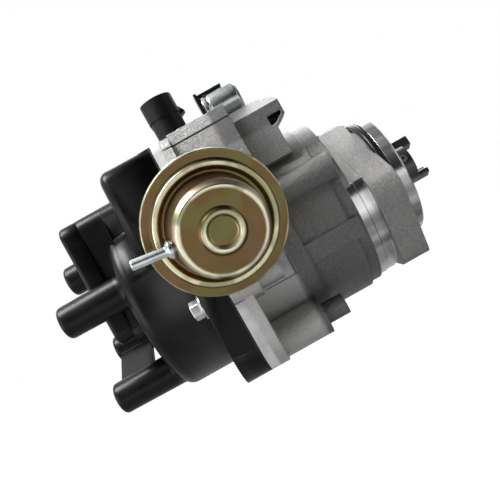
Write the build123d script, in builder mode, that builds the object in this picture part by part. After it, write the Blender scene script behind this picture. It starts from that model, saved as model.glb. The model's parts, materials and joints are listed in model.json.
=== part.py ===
from build123d import *
from math import cos, radians, sin
import os

os.makedirs("parts", exist_ok=True)

# Ignition distributor. Millimetres. +X runs along the shaft towards the drive end, +Z up towards
# the harness connector, -Y towards the vacuum canister. X = 0 is the engine-side face.

# General clearances
running = 0.05
seat_gap = 0.02
slip = 0.15
part_gap = 0.3
hole_spare = 1
hex_sides = 6
square_sides = 4

# Stations along the shaft, each from the one before it
flange_thick = 12
hub_thick = 4.4
neck_length = 29.6
body_length = 26
lip_thick = 4
spacer_thick = 4
gasket_thick = 0.8
rim_thick = 10.2
hub_x = -(flange_thick + hub_thick)
shoulder_x = hub_x - neck_length
body_x = shoulder_x - body_length
lip_x = body_x - lip_thick
spacer_x = lip_x - spacer_thick
rim_x = spacer_x - gasket_thick
cap_face_x = rim_x - rim_thick

# Seat outline, shared by the housing lip, spacer, gasket and cap rim
seat_half = 49.5
seat_floor = -45
seat_waist = 8
seat_top_half = 36
seat_top = 57
seat_corner = 13
seat_top_corner = 7
seat_bore = 38.5
window_half = 12
window_low = 41
window_high = 51

# Cap
turret_r = 39.5
turret_length = 27
turret_round = 5
cap_wall = 3.6
box_length = 13.6
box_low = 14
box_round = 4
block_length = 42
block_half = 21
block_low = -8.5
block_high = 48
block_round = 6
tower_circle = 30.6
tower_turn = 21.5
tower_count = 4
tower_r = 7.5
tower_taper = 0.8
web_thick = 2.4
web_length = 16.5
block_base_length = 6.2
block_base_rim = 3
tower_length = 55.5
tower_bore_r = 4.2
tower_bore_depth = 22
tip_round = 2
terminal_r = 3
terminal_inner_x = cap_face_x - 1
post_r = 5
post_length = 10

# Cap screws: near side, far side and low on the far side; the near low boss has no screw
screw_r = 2.5
screw_head_r = 4.2
screw_head_high = 4
screw_flange_r = 5.4
screw_flange_thick = 1.2
side_inset = 5.5
side_screw_z = -9.6
low_inset = 19.5
low_screw_z = seat_floor + 8
side_screw_places = [(inset_side * (seat_half - side_inset), side_screw_z) for inset_side in (-1, 1)]
low_boss_places = [(inset_side * (seat_half - low_inset), low_screw_z) for inset_side in (-1, 1)]
cap_screw_places = side_screw_places + low_boss_places[1:]
cap_screw_reach = 14

# Housing
body_r = 41.5
body_top = 52
body_top_half = 36
neck_r = 39.6
collar_start = 8.6
neck_collar_r = 38.4
machined_r = 37.4
machined_length = 3.6
chamber_r = 33.5
chamber_depth = 42
ledge_r = 35.5
ledge_depth = 8.5
mouth_depth = 3
screw_boss_r = 8
low_boss_length = 21
side_boss_r = 7.4
side_boss_length = 4
side_boss_inset = 6.5
step_boss_r = 4.5
step_boss_length = 9.5
rib_r = 6.5
rib_y = -35
rib_z = 14
pad_turn = -162
pad_wide = 9
pad_reach = 40.2
pad_length = 24.5
saddle_length = 2.2
coil_half = 28
coil_floor = 40
coil_wall = 5
coil_back_wall = 2
coil_corner = 3
coil_block_half = 20
coil_block_high = 10.6
coil_block_corner = 2
coil_nose_r = 4.3
coil_nose_start = 2
coil_nose_length = 22
coil_pin_r = 1.5
coil_pin_length = 26
core_x = body_x + 12.5
core_wide = 7
core_high = 5
igniter_y = 27.5
igniter_thick = 6.4
igniter_wide = 22
igniter_length = 13

# Slotted lug on the near shoulder
lug_near = -33
lug_back = -14
lug_crest = -11
lug_far = 14
lug_block_low = 27
lug_shelf = 39.4
lug_lip_low = 42.3
lug_bar_high = 48.6
lug_top = 56.8
lug_length = 20.5
lug_block_length = 15.3
lug_turn_back = 6
pocket_low = 40.2
pocket_high = 44.2
pocket_length = 6
pocket_lip = 1.3
pocket_deep = 9

# Mounting flange and pilot
flange_near = (-33, -4, 8)
flange_low = (-24, -32, 4)
flange_crown = (6, 22.5, 9)
crown_bevel = 3.8
crown_drop = 2.9
crown_bevel_far = 14
ear_y = 44
ear_z = 24
ear_r = 9
ear_hole_r = 4.2
ear_slot = 15
hub_r = 37
flange_screw_places = [(-33.2, -4), (20, 27), (20, -27)]
flange_screw_r = 2.4
flange_screw_head_r = 4.4
flange_screw_head_high = 4.5
flange_screw_length = 30
pilot_r = 27.8
pilot_length = 7.8
pilot_chamfer = 0.8
groove_width = 3.2
groove_r = 25
recess_deep = 0.5
recess_r = 28.6

# Shaft, bearings, seal and coupling
shaft_r = 6
upper_shaft_r = 4.5
shaft_chamfer = 0.6
shaft_short = 1
bearing_r = 14
bearing_width = 8
bearing_x = -2
ball_count = 8
race_thick = 2
seal_r = 12
seal_width = 6
bush_r = 9
bush_length = 14
coupling_r = 12.5
coupling_gap = 0.5
coupling_base = 3.2
coupling_hub_r = 8.2
coupling_hub_length = 9.2
tang_length = 14.8
tang_wide = 4.6
tang_deep = 6.4
tang_centre = 2.3
tang_spread = 7.9
tang_aside = 3.2
tang_turn = -19
tang_round = 0.6
roll_pin_r = 1.6
roll_pin_x = 14
roll_pin_turn = 20
roll_pin_length = 17

# Centrifugal advance
governor_x = shoulder_x + 6.5
governor_thick = 2.2
governor_r = 25
weight_thick = 5.6
weight_gap = 0.3
weight_pivot_r = 19
weight_in_r = 9.6
weight_out_r = 23
weight_eye_r = 4
weight_start = 98
weight_stop = 188
drive_arm_r = 2.4
drive_slot = 1.6
pivot_pin_r = 2
drive_pin_r = 1.5
drive_pin_place = 10
cam_gap = 0.4
cam_thick = 2
cam_r = 14
sleeve_r = 7
sleeve_end_x = lip_x - 17
spring_post_r = 1
spring_post_short = 1
spring_wire_r = 0.4
spring_coil_r = 1.6
spring_turns = 6
governor_post_angle = 25
governor_post_circle = 22
cam_post_angle = 66
cam_post_circle = 12

# Signal generator and rotor
base_thick = 2
collar_r = 16.6
collar_wall = 1.6
collar_rise = 2.1
pickup_gap = 0.5
pickup_thick = 2
pickup_r = 26
pickup_rim = 3
pickup_lug_r = 2.9
plate_pin_r = 1.7
plate_pin_end = lip_x - 3.2
plate_screw_circle = 30.4
plate_screw_angle = 50
plate_screw_r = 1.5
plate_screw_head_r = 2.8
plate_screw_head_high = 1.6
plate_boss_r = 4
plate_boss_length = 12
plate_screw_reach = 10
reluctor_r = 13.8
reluctor_x = lip_x - 10
reluctor_length = 6
reluctor_teeth = 4
tooth_wide = 5
reluctor_wall = 2
coil_angle = -62
coil_inner = 14.6
coil_outer = 25
coil_wide = 12
bobbin_inset = 3
bobbin_corner = 1.5
coil_end_x = lip_x - 10.5
rotor_x = lip_x - 12
rotor_end_x = lip_x - 21.6
rotor_hub_r = 10.5
rotor_arm_r = 22
rotor_arm_half = 7
rotor_arm_thick = 3.4
rotor_corner = 2
rotor_turn = 15
contact_thick = 1
contact_half = 3.5
contact_reach = 26.9
contact_back = 4
brush_r = 2.3
brush_length = 8
brush_tube_r = 5
brush_floor = 2.9
brush_bore_end = turret_length - cap_face_x - cap_wall - brush_floor
brush_tube_length = 14
brush_round = 0.8
brush_turns = 4

# Vacuum unit: its rod pulls the pickup plate round, and its rim stands square to that rod
rod_tilt = 16.76
rod_aside = 5.5
rod_arm = 32.3
can_clear = 5.8
rod_length = seat_half + can_clear
rod_r = 1.5
rod_notch = 1.2
eye_r = 4.4
eye_thick = 2.6
eye_x = lip_x - part_gap
eye_slot = 0.7
rim_r = 27
shell_wall = 0.9
rolled_wide = 1.6
rolled_low = -1.9
rolled_high = 1.6
bead_out_r = 23.4
bead_top_out_r = 22.8
bead_top_in_r = 20.9
bead_in_r = 19.9
bead_high = 3.3
valley_in_r = 18.6
valley_high = 1.8
dome_foot_r = 17.6
dome_shoulder = 2.4
diaphragm_thick = 0.8
rod_disc_r = 11
rod_disc_thick = 1.2
dome_high = 15.6
dome_r = 16
ring_out_r = 8.4
ring_top_out_r = 7.6
ring_top_in_r = 6
ring_in_r = 5.2
ring_rise = 1.1
ring_sink = 0.4
neck_tube_r = 4.6
base_deep = 7.6
base_rim_low = -1
base_rim_inset = 1
base_slope_inset = 4.2
neck_tube_length = 3.4
bracket_mid_r = 7.5
bracket_thick = 1.6
base_back_r = 13.5
bracket_ears = [(-16, 14), (-10, -19)]
bracket_ear_r = 5
bracket_screw_r = 2
bracket_head_r = 3.5
bracket_head_high = 2.6
bracket_screw_length = 10
bracket_boss_r = 4.8
nipple_height = 11.2
nipple_r = 1.9
nipple_bore_r = 1.1
nipple_start = 15.6
nipple_end = 33
nipple_collar_r = 3.4
nipple_collar_start = 18.15
nipple_collar_thick = 2
nipple_collar_taper = 20
dome_spring_r = 7.5
dome_spring_wire = 0.7
dome_spring_turns = 4

# Things on top
cover_thick = 5
connector_x = body_x + 2.7
connector_y = -4
connector_wide = 14
connector_long = 25
connector_high = 21
connector_wall = 1.6
connector_neck_shift = 3
connector_neck_wide = 8
connector_neck_long = 17
connector_neck_corner = 1.5
connector_foot = 1.6
connector_foot_spread = 2
connector_band_spread = 1
connector_step = 12
connector_floor = 3
tab_half = 3
tab_low = 11
tab_high = 16
tab_reach = 2.4
pin_wide = 2.2
pin_thick = 0.8
pin_reach = 8
pin_pitch = 4.4
can_r = 7.5
can_length = 17.5
can_round = 1.2
can_x = body_x + 20
can_y = 2
strap_wide = 12
strap_foot_x = body_x + 11
strap_screw_x = body_x + 14.6
strap_tab_x = body_x + 32
strap_thick = 1.4
strap_tab_thick = 1
cover_screw_r = 1.6
cover_screw_head_r = 3.1
cover_screw_length = 9
strap_head_high = 2
cover_lean = 1
cover_inset = 4


def seat_outline():
    """The rim outline: flat sides that lean in above the waist, a flat top and rounded corners."""
    with BuildLine() as outline:
        Polyline(
            (-seat_half, seat_floor),
            (seat_half, seat_floor),
            (seat_half, seat_waist),
            (seat_top_half, seat_top),
            (-seat_top_half, seat_top),
            (-seat_half, seat_waist),
            close=True,
        )
    make_face(outline.edges())
    fillet(vertices().group_by(Axis.Y)[-1], radius=seat_top_corner)
    fillet(vertices().group_by(Axis.Y)[0], radius=seat_corner)


def seat_plate(x, thick):
    """A plate of the seat outline with the round mouth and the coil window cut through."""
    with BuildSketch(Plane.YZ.offset(x)) as plate:
        seat_outline()
        Circle(seat_bore, mode=Mode.SUBTRACT)
        with Locations((0, (window_low + window_high) / 2)):
            Rectangle(2 * window_half, window_high - window_low, mode=Mode.SUBTRACT)
        with Locations(*cap_screw_places):
            Circle(screw_r + slip, mode=Mode.SUBTRACT)
    extrude(plate.sketch, amount=thick)


def crown_side(beyond=False):
    """Keeps the part of a sketch below the flange's crown line, or the part beyond it."""
    far_z = 3 * hub_r if beyond else -3 * hub_r
    with BuildLine() as half:
        Polyline(
            tuple(crown_edge - crown_dir * 3 * hub_r)[:2],
            tuple(crown_edge)[:2],
            (3 * hub_r, crown_top),
            (3 * hub_r, far_z),
            (-4 * hub_r, far_z),
            close=True,
        )
    make_face(half.edges(), mode=Mode.INTERSECT)


def polar(radius, angle):
    """A place in the plane across the shaft."""
    return (radius * cos(radians(angle)), radius * sin(radians(angle)))


# Vacuum unit frame: its Z runs out of the dome, its X towards the hose
can_dir = Vector(
    sin(radians(rod_aside)),
    -cos(radians(rod_aside)) * cos(radians(rod_tilt)),
    -cos(radians(rod_aside)) * sin(radians(rod_tilt)),
)
pin_centre = Vector(eye_x, -rod_arm * sin(radians(rod_tilt)), rod_arm * cos(radians(rod_tilt)))
rim_centre = pin_centre + can_dir * rod_length
hose_hint = Vector(-1, 0, 0.15)
hose_dir = (hose_hint - can_dir * hose_hint.dot(can_dir)).normalized()
can_plane = Plane(origin=rim_centre, x_dir=hose_dir, z_dir=can_dir)
can_profile = Plane(origin=rim_centre, x_dir=hose_dir, z_dir=-can_plane.y_dir)
can_axis = Axis(rim_centre, can_dir)


def can_level(height):
    """A plane square to the vacuum unit's axis, at a height above its rim."""
    return Plane(origin=rim_centre + can_dir * height, x_dir=hose_dir, z_dir=can_dir)


bracket_back = -base_deep - bracket_thick
side_boss_edge = seat_half - side_boss_inset
crown_dir = Vector(flange_crown[0] - flange_near[0], flange_crown[1] - flange_near[1], 0).normalized()
crown_out = Vector(-crown_dir.Y, crown_dir.X, 0) * flange_crown[2]
crown_edge = Vector(flange_crown[0], flange_crown[1], 0) + crown_out
crown_top = flange_crown[1] + flange_crown[2]
plate_screw_places = [polar(plate_screw_circle, plate_screw_angle + turn) for turn in (0, 180)]
connector_pin_places = [
    (connector_x + connector_neck_shift, connector_y + pin_pitch * (i - 1.5)) for i in range(4)
]
cover_screw_places = [
    (x, y)
    for x in (body_x + cover_inset, shoulder_x - cover_inset)
    for y in (cover_inset - body_top_half, body_top_half - cover_inset)
]


def across(x, turn=0):
    """A plane across the shaft at a station, turned about the shaft."""
    return Plane(origin=(x, 0, 0), x_dir=(0, cos(radians(turn)), sin(radians(turn))), z_dir=(1, 0, 0))


nipple_root = rim_centre + can_dir * nipple_height + hose_dir * (nipple_start - nipple_r)
nipple_plane = Plane(origin=nipple_root, x_dir=can_dir, z_dir=hose_dir)


# Distributor cap: rim, upper box, round turret, coil block and four plug towers
turret_x = cap_face_x - turret_length
box_x = cap_face_x - box_length
block_x = cap_face_x - block_length
tower_x = cap_face_x - tower_length
tower_places = [polar(tower_circle, tower_turn + 360 / tower_count * i) for i in range(tower_count)]
tower_places = [(-y, z) for y, z in tower_places]
web_angle = 45 - tower_turn
web_middle = polar(tower_circle * cos(radians(180 / tower_count)), web_angle - 90)

with BuildPart() as cap:
    with BuildSketch(Plane.YZ.offset(cap_face_x)):
        seat_outline()
    extrude(amount=rim_thick)
    with BuildSketch(Plane.YZ.offset(box_x)):
        seat_outline()
        with Locations((0, box_low)):
            Rectangle(4 * seat_half, 4 * seat_half, align=(Align.CENTER, Align.MAX), mode=Mode.SUBTRACT)
    extrude(amount=box_length)
    fillet(cap.faces().sort_by(Axis.X)[0].edges(), radius=box_round)
    with BuildSketch(Plane.YZ.offset(turret_x)):
        Circle(turret_r)
    extrude(amount=turret_length)
    fillet(cap.faces().sort_by(Axis.X)[0].edges(), radius=turret_round)
    with BuildSketch(Plane.YZ.offset(block_x)):
        with Locations((0, (block_low + block_high) / 2)):
            RectangleRounded(2 * block_half, block_high - block_low, block_round)
    extrude(amount=block_length - box_length + box_round)
    fillet(cap.faces().sort_by(Axis.X)[0].edges(), radius=tip_round)
    with BuildSketch(Plane.YZ.offset(turret_x - block_base_length)):
        with Locations((0, (block_low + block_high) / 2)):
            RectangleRounded(
                2 * (block_half + block_base_rim), block_high - block_low + 2 * block_base_rim, block_round
            )
    extrude(amount=block_base_length + turret_round)
    with BuildSketch(Plane.YZ.offset(tower_x + tip_round)):
        with Locations(Location(web_middle, web_angle)):
            Rectangle(2 * tower_circle * sin(radians(180 / tower_count)), web_thick)
    extrude(amount=web_length)
    with BuildSketch(Plane.YZ.offset(turret_x + turret_round)):
        with Locations(*tower_places):
            Circle(tower_r)
    extrude(amount=-(tower_length - turret_length + turret_round), taper=tower_taper)
    fillet(cap.faces().group_by(Axis.X)[0].edges(), radius=tip_round)
    # Inside: round chamber, coil window pocket, centre tube and terminal posts
    with BuildSketch(Plane.YZ.offset(rim_x)):
        Circle(seat_bore)
    extrude(amount=-rim_thick, mode=Mode.SUBTRACT)
    with BuildSketch(Plane.YZ.offset(cap_face_x)):
        Circle(turret_r - cap_wall)
    extrude(amount=-(turret_length - cap_wall), mode=Mode.SUBTRACT)
    with BuildSketch(Plane.YZ.offset(rim_x)):
        with Locations((0, (window_low + window_high) / 2)):
            Rectangle(2 * window_half, window_high - window_low)
    extrude(amount=-(rim_thick + box_length - cap_wall), mode=Mode.SUBTRACT)
    with BuildSketch(Plane.YZ.offset(turret_x + cap_wall)):
        Circle(brush_tube_r)
    extrude(amount=brush_tube_length)
    with BuildSketch(Plane.YZ.offset(turret_x + cap_wall)):
        with Locations(*tower_places):
            Circle(post_r)
    extrude(amount=post_length)
    with BuildSketch(Plane.YZ.offset(turret_x + cap_wall + brush_tube_length)):
        Circle(brush_r + slip)
    extrude(amount=-(turret_x + cap_wall + brush_tube_length + brush_bore_end), mode=Mode.SUBTRACT)
    with BuildSketch(Plane.YZ.offset(turret_x + cap_wall + post_length)):
        with Locations(*tower_places):
            Circle(terminal_r + seat_gap)
    extrude(amount=-(post_length + tower_length), mode=Mode.SUBTRACT)
    with BuildSketch(Plane.YZ.offset(tower_x)):
        with Locations(*tower_places):
            Circle(tower_bore_r)
    extrude(amount=tower_bore_depth, mode=Mode.SUBTRACT)
    with BuildSketch(Plane.YZ.offset(cap_face_x)):
        with Locations(*cap_screw_places):
            Circle(screw_r + slip)
    extrude(amount=rim_thick, mode=Mode.SUBTRACT)
cap.part.label = "distributor_cap"
export_step(cap.part, "parts/distributor_cap.step")

# Tower terminals: one rod in each tower, from the bottom of its bore to the rotor's circle
with BuildPart() as terminals:
    with BuildSketch(Plane.YZ.offset(terminal_inner_x)):
        with Locations(*tower_places):
            Circle(terminal_r)
    extrude(amount=-(terminal_inner_x - tower_x - tower_bore_depth))
terminals.part.label = "tower_terminals"
export_step(terminals.part, "parts/tower_terminals.step")

# Gasket and spacer plate
with BuildPart() as gasket:
    seat_plate(rim_x, gasket_thick)
gasket.part.label = "cap_gasket"
export_step(gasket.part, "parts/cap_gasket.step")

with BuildPart() as spacer:
    seat_plate(spacer_x, spacer_thick)
    with BuildSketch(Plane.YZ.offset(spacer_x)):
        with Locations(*side_screw_places):
            Circle(side_boss_r + slip)
        Rectangle(2 * (side_boss_edge - slip), 2 * seat_half, mode=Mode.SUBTRACT)
    extrude(amount=spacer_thick, mode=Mode.SUBTRACT)
spacer.part.label = "dust_spacer"
export_step(spacer.part, "parts/dust_spacer.step")

# Cap screws: shank through cap, gasket and spacer into the housing lip
with BuildPart() as cap_screws:
    with BuildSketch(Plane.YZ.offset(cap_face_x)):
        with Locations(*cap_screw_places):
            Circle(screw_r)
    extrude(amount=rim_thick + gasket_thick + spacer_thick + cap_screw_reach)
    with BuildSketch(Plane.YZ.offset(cap_face_x)):
        with Locations(*cap_screw_places):
            Circle(screw_flange_r)
    extrude(amount=-screw_flange_thick)
    with BuildSketch(Plane.YZ.offset(cap_face_x - screw_flange_thick)):
        with Locations(*cap_screw_places):
            RegularPolygon(screw_head_r, hex_sides)
    extrude(amount=-screw_head_high)
cap_screws.part.label = "cap_screws"
export_step(cap_screws.part, "parts/cap_screws.step")

# Housing casting
lug_end_x = shoulder_x + lug_length
coil_back_x = shoulder_x - coil_back_wall
pocket_x = lug_end_x - pocket_lip - pocket_length
with BuildPart() as housing:
    with BuildSketch(Plane.YZ.offset(lip_x)):
        seat_outline()
    extrude(amount=lip_thick)
    with BuildSketch(Plane.YZ.offset(body_x)):
        Circle(body_r)
        with BuildLine():
            Polyline(
                (-body_r, 0), (body_r, 0), (body_top_half, body_top), (-body_top_half, body_top), close=True
            )
        make_face()
    extrude(amount=body_length)
    # Screw bosses run back from the lip
    with BuildSketch(Plane.YZ.offset(body_x)):
        with Locations(*low_boss_places):
            Circle(screw_boss_r)
    extrude(amount=low_boss_length)
    with BuildSketch(Plane.YZ.offset(spacer_x)):
        with Locations(*side_screw_places):
            Circle(side_boss_r)
        Rectangle(2 * side_boss_edge, 2 * seat_half, mode=Mode.SUBTRACT)
    extrude(amount=spacer_thick)
    with BuildSketch(Plane.YZ.offset(lip_x)):
        with Locations(*side_screw_places):
            Circle(side_boss_r)
    extrude(amount=lip_thick + side_boss_length)
    with BuildSketch(Plane.YZ.offset(body_x)):
        with Locations(*side_screw_places):
            Circle(screw_flange_r)
    extrude(amount=cap_screw_reach)
    with BuildSketch(Plane.YZ.offset(body_x + low_boss_length)):
        with Locations(*low_boss_places):
            Circle(step_boss_r)
    extrude(amount=step_boss_length)
    with BuildSketch(Plane.YZ.offset(shoulder_x)):
        Circle(neck_r)
    extrude(amount=neck_length - collar_start)
    with BuildSketch(Plane.YZ.offset(hub_x - collar_start)):
        Circle(neck_collar_r)
    extrude(amount=collar_start - machined_length)
    with BuildSketch(Plane.YZ.offset(hub_x)):
        Circle(machined_r)
        crown_side()
    extrude(amount=-machined_length)
    with BuildSketch(Plane.YZ.offset(hub_x - machined_length)):
        Circle(neck_collar_r)
        crown_side(beyond=True)
    extrude(amount=saddle_length)
    # Ribs along both sides of the neck
    with BuildSketch(Plane.YZ.offset(shoulder_x)):
        with Locations((rib_y, rib_z), (-rib_y, rib_z)):
            Circle(rib_r)
    extrude(amount=neck_length - machined_length)
    # Flat pad low on the near side of the neck
    with BuildSketch(Plane.YZ.offset(shoulder_x)):
        with Locations(Location(polar(pad_reach - rib_r / 2, pad_turn), pad_turn)):
            Rectangle(rib_r, pad_wide)
    extrude(amount=pad_length)
    # Lug with its slot
    with BuildSketch(Plane.YZ.offset(shoulder_x)):
        with BuildLine():
            Polyline(
                (lug_near, pocket_high),
                (lug_near, lug_bar_high),
                (lug_crest, lug_top),
                (lug_far, lug_top),
                (lug_far, lug_lip_low),
                (lug_back, lug_lip_low),
                close=True,
            )
        make_face()
    extrude(amount=lug_length)
    with BuildSketch(Plane.XZ.offset(-lug_near)):
        with BuildLine():
            Polyline(
                (shoulder_x, lug_block_low),
                (shoulder_x + lug_block_length, lug_block_low),
                (shoulder_x + lug_block_length, lug_shelf),
                (lug_end_x, lug_lip_low),
                (lug_end_x, lug_bar_high),
                (shoulder_x, lug_bar_high),
                close=True,
            )
        make_face()
    extrude(amount=lug_near - lug_back)
    with BuildSketch(Plane.YZ.offset(shoulder_x)):
        with Locations(((lug_near + lug_far) / 2, (lug_block_low + lug_lip_low) / 2)):
            Rectangle(lug_far - lug_near, lug_lip_low - lug_block_low)
    extrude(amount=lug_block_length)
    with BuildSketch(Plane.XY.offset(neck_r)):
        with BuildLine():
            Polyline(
                (lug_end_x, (lug_near + lug_back) / 2),
                (lug_end_x - lug_turn_back, lug_crest),
                (shoulder_x, lug_far),
                (lug_end_x, lug_far),
                close=True,
            )
        make_face()
    extrude(amount=lug_top - neck_r, mode=Mode.SUBTRACT)
    with BuildSketch(Plane.XZ.offset(-lug_near)):
        with BuildLine():
            Polyline(
                (pocket_x, pocket_low),
                (shoulder_x + lug_block_length, pocket_low),
                (lug_end_x - pocket_lip, lug_lip_low + pocket_lip / 2),
                (lug_end_x - pocket_lip, pocket_high),
                (pocket_x, pocket_high),
                close=True,
            )
        make_face()
    extrude(amount=-pocket_deep, mode=Mode.SUBTRACT)
    # Bosses for the vacuum unit's bracket
    with BuildSketch(can_level(bracket_back)):
        with Locations(*bracket_ears):
            Circle(bracket_boss_r)
    extrude(amount=-rim_r)
    # Chamber, ledge and mouth
    with BuildSketch(Plane.YZ.offset(lip_x)):
        Circle(seat_bore)
    extrude(amount=mouth_depth, mode=Mode.SUBTRACT)
    with BuildSketch(Plane.YZ.offset(lip_x)):
        Circle(ledge_r)
    extrude(amount=ledge_depth, mode=Mode.SUBTRACT)
    with BuildSketch(Plane.YZ.offset(lip_x)):
        Circle(chamber_r)
    extrude(amount=chamber_depth, mode=Mode.SUBTRACT)
    # Bosses for the base plate's screws
    with BuildSketch(Plane.YZ.offset(lip_x + ledge_depth)):
        with Locations(*plate_screw_places):
            Circle(plate_boss_r)
    extrude(amount=plate_boss_length)
    # Shaft tunnel: bush seat, then the bearing's clearance
    with BuildSketch(Plane.YZ.offset(hub_x)):
        Circle(bush_r)
    extrude(amount=-neck_length, mode=Mode.SUBTRACT)
    # Coil chamber, open at the top, with a hole for the coil's nose
    with BuildSketch(Plane.XY.offset(coil_floor)):
        with Locations(((lip_x + coil_wall + coil_back_x) / 2, 0)):
            RectangleRounded(coil_back_x - lip_x - coil_wall, 2 * coil_half, coil_corner)
    extrude(amount=body_top - coil_floor, mode=Mode.SUBTRACT)
    with BuildSketch(Plane.YZ.offset(lip_x)):
        with Locations((0, (window_low + window_high) / 2)):
            Circle(coil_nose_r + part_gap)
    extrude(amount=coil_wall + hole_spare, mode=Mode.SUBTRACT)
    # Notch in the lip for the vacuum rod
    with BuildSketch(can_level(0)):
        Circle(rod_r + rod_notch)
    extrude(amount=-rod_length, mode=Mode.SUBTRACT)
    # Screw holes
    with BuildSketch(can_level(bracket_back)):
        with Locations(*bracket_ears):
            Circle(bracket_screw_r + seat_gap)
    extrude(amount=-bracket_screw_length - hole_spare, mode=Mode.SUBTRACT)
    with BuildSketch(Plane.YZ.offset(hub_x)):
        with Locations(*flange_screw_places):
            Circle(flange_screw_r + seat_gap)
    extrude(amount=-flange_screw_length, mode=Mode.SUBTRACT)
    with BuildSketch(Plane.YZ.offset(lip_x + ledge_depth)):
        with Locations(*plate_screw_places):
            Circle(plate_screw_r + seat_gap)
    extrude(amount=plate_screw_reach + hole_spare, mode=Mode.SUBTRACT)
    with BuildSketch(Plane.XY.offset(body_top)):
        with Locations(*cover_screw_places):
            Circle(cover_screw_r + seat_gap)
    extrude(amount=-cover_screw_length, mode=Mode.SUBTRACT)
    with BuildSketch(Plane.YZ.offset(spacer_x)):
        with Locations(*cap_screw_places):
            Circle(screw_r + seat_gap)
    extrude(amount=spacer_thick + cap_screw_reach + hole_spare, mode=Mode.SUBTRACT)
housing.part.label = "housing"
export_step(housing.part, "parts/housing.step")

# Vacuum canister, front shell: rolled rim, flat annulus, raised bead, valley, dome and ring bead
with BuildPart() as canister_cover:
    with BuildSketch(can_profile):
        with BuildLine():
            Polyline(
                (rim_r - rolled_wide, rolled_low),
                (rim_r, rolled_low),
                (rim_r, rolled_high),
                (bead_out_r, rolled_high),
                (bead_top_out_r, bead_high),
                (bead_top_in_r, bead_high),
                (bead_in_r, valley_high),
                (valley_in_r, valley_high),
                (dome_foot_r, dome_high - dome_shoulder),
                (dome_r, dome_high),
                (ring_out_r, dome_high),
                (ring_top_out_r, dome_high + ring_rise),
                (ring_top_in_r, dome_high + ring_rise),
                (ring_in_r, dome_high - ring_sink),
                (0, dome_high - ring_sink),
            )
            offset(amount=shell_wall, side=Side.LEFT)
        make_face()
    revolve(axis=can_axis)
    with BuildSketch(nipple_plane):
        Circle(nipple_r + seat_gap)
    extrude(amount=dome_r, mode=Mode.SUBTRACT)
canister_cover.part.label = "canister_cover"
export_step(canister_cover.part, "parts/canister_cover.step")

# Hose nipple: a tube swaged into the dome with a collar outside it
with BuildPart() as nipple:
    with BuildSketch(nipple_plane):
        Circle(nipple_r)
        Circle(nipple_bore_r, mode=Mode.SUBTRACT)
    extrude(amount=nipple_end - nipple_start + nipple_r)
    with BuildSketch(nipple_plane.offset(nipple_collar_start - nipple_start + nipple_r)):
        Circle(nipple_collar_r)
        Circle(nipple_bore_r, mode=Mode.SUBTRACT)
    extrude(amount=nipple_collar_thick, taper=nipple_collar_taper)
nipple.part.label = "hose_nipple"
export_step(nipple.part, "parts/hose_nipple.step")

# Vacuum canister, rear shell with the neck that the rod runs through
with BuildPart() as canister_base:
    with BuildSketch(can_profile):
        with BuildLine():
            Polyline(
                (rim_r - base_rim_inset, base_rim_low),
                (rim_r - base_slope_inset, base_rim_low),
                (base_back_r, -base_deep),
                (neck_tube_r, -base_deep),
                (neck_tube_r, -base_deep - neck_tube_length),
            )
            offset(amount=shell_wall, side=Side.RIGHT)
        make_face()
    revolve(axis=can_axis)
canister_base.part.label = "canister_base"
export_step(canister_base.part, "parts/canister_base.step")

# Diaphragm, clamped between the shells
diaphragm_low = base_rim_low + shell_wall
with BuildPart() as diaphragm:
    with BuildSketch(can_level(diaphragm_low)):
        Circle(rim_r - base_rim_inset)
        Circle(rod_r + slip, mode=Mode.SUBTRACT)
    extrude(amount=diaphragm_thick)
diaphragm.part.label = "diaphragm"
export_step(diaphragm.part, "parts/diaphragm.step")

# Vacuum rod: two discs that hold the diaphragm, a straight rod and an eye on the plate's pin
with BuildPart() as rod:
    with BuildSketch(can_level(diaphragm_low)):
        Circle(rod_disc_r)
    extrude(amount=-rod_disc_thick)
    with BuildSketch(can_level(diaphragm_low + diaphragm_thick)):
        Circle(rod_disc_r)
    extrude(amount=rod_disc_thick)
    with BuildSketch(can_level(diaphragm_low + diaphragm_thick)):
        Circle(rod_r)
    extrude(amount=-rod_length)
    with BuildSketch(Plane.YZ.offset(eye_x - eye_thick / 2)):
        with Locations((pin_centre.Y, pin_centre.Z)):
            Circle(eye_r)
    extrude(amount=eye_thick)
    with BuildSketch(Plane.YZ.offset(eye_x - eye_r)):
        with Locations(Location((pin_centre.Y, pin_centre.Z), 90 + rod_tilt)):
            SlotCenterToCenter(eye_slot, 2 * (plate_pin_r + slip))
    extrude(amount=2 * eye_r, mode=Mode.SUBTRACT)
rod.part.label = "vacuum_rod"
export_step(rod.part, "parts/vacuum_rod.step")

# Return spring inside the dome
spring_low = diaphragm_low + diaphragm_thick + rod_disc_thick + dome_spring_wire
spring_high = dome_high - ring_sink - shell_wall - dome_spring_wire
with BuildPart() as dome_spring:
    with BuildLine() as coil_line:
        Helix(
            (spring_high - spring_low - part_gap) / dome_spring_turns,
            spring_high - spring_low - part_gap,
            dome_spring_r,
            center=rim_centre + can_dir * (spring_low + part_gap / 2),
            direction=can_dir,
        )
    with BuildSketch(Plane(origin=coil_line.line @ 0, z_dir=coil_line.line % 0)):
        RegularPolygon(dome_spring_wire, hex_sides)
    sweep(is_frenet=True)
dome_spring.part.label = "diaphragm_spring"
export_step(dome_spring.part, "parts/diaphragm_spring.step")

# Bracket behind the vacuum unit, and its screws
with BuildPart() as bracket:
    with BuildSketch(can_level(bracket_back)):
        Circle(bracket_mid_r)
        with Locations(*bracket_ears):
            Circle(bracket_ear_r)
        make_hull()
        Circle(neck_tube_r + running, mode=Mode.SUBTRACT)
        with Locations(*bracket_ears):
            Circle(bracket_screw_r + slip, mode=Mode.SUBTRACT)
    extrude(amount=bracket_thick)
bracket.part.label = "canister_bracket"
export_step(bracket.part, "parts/canister_bracket.step")

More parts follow.
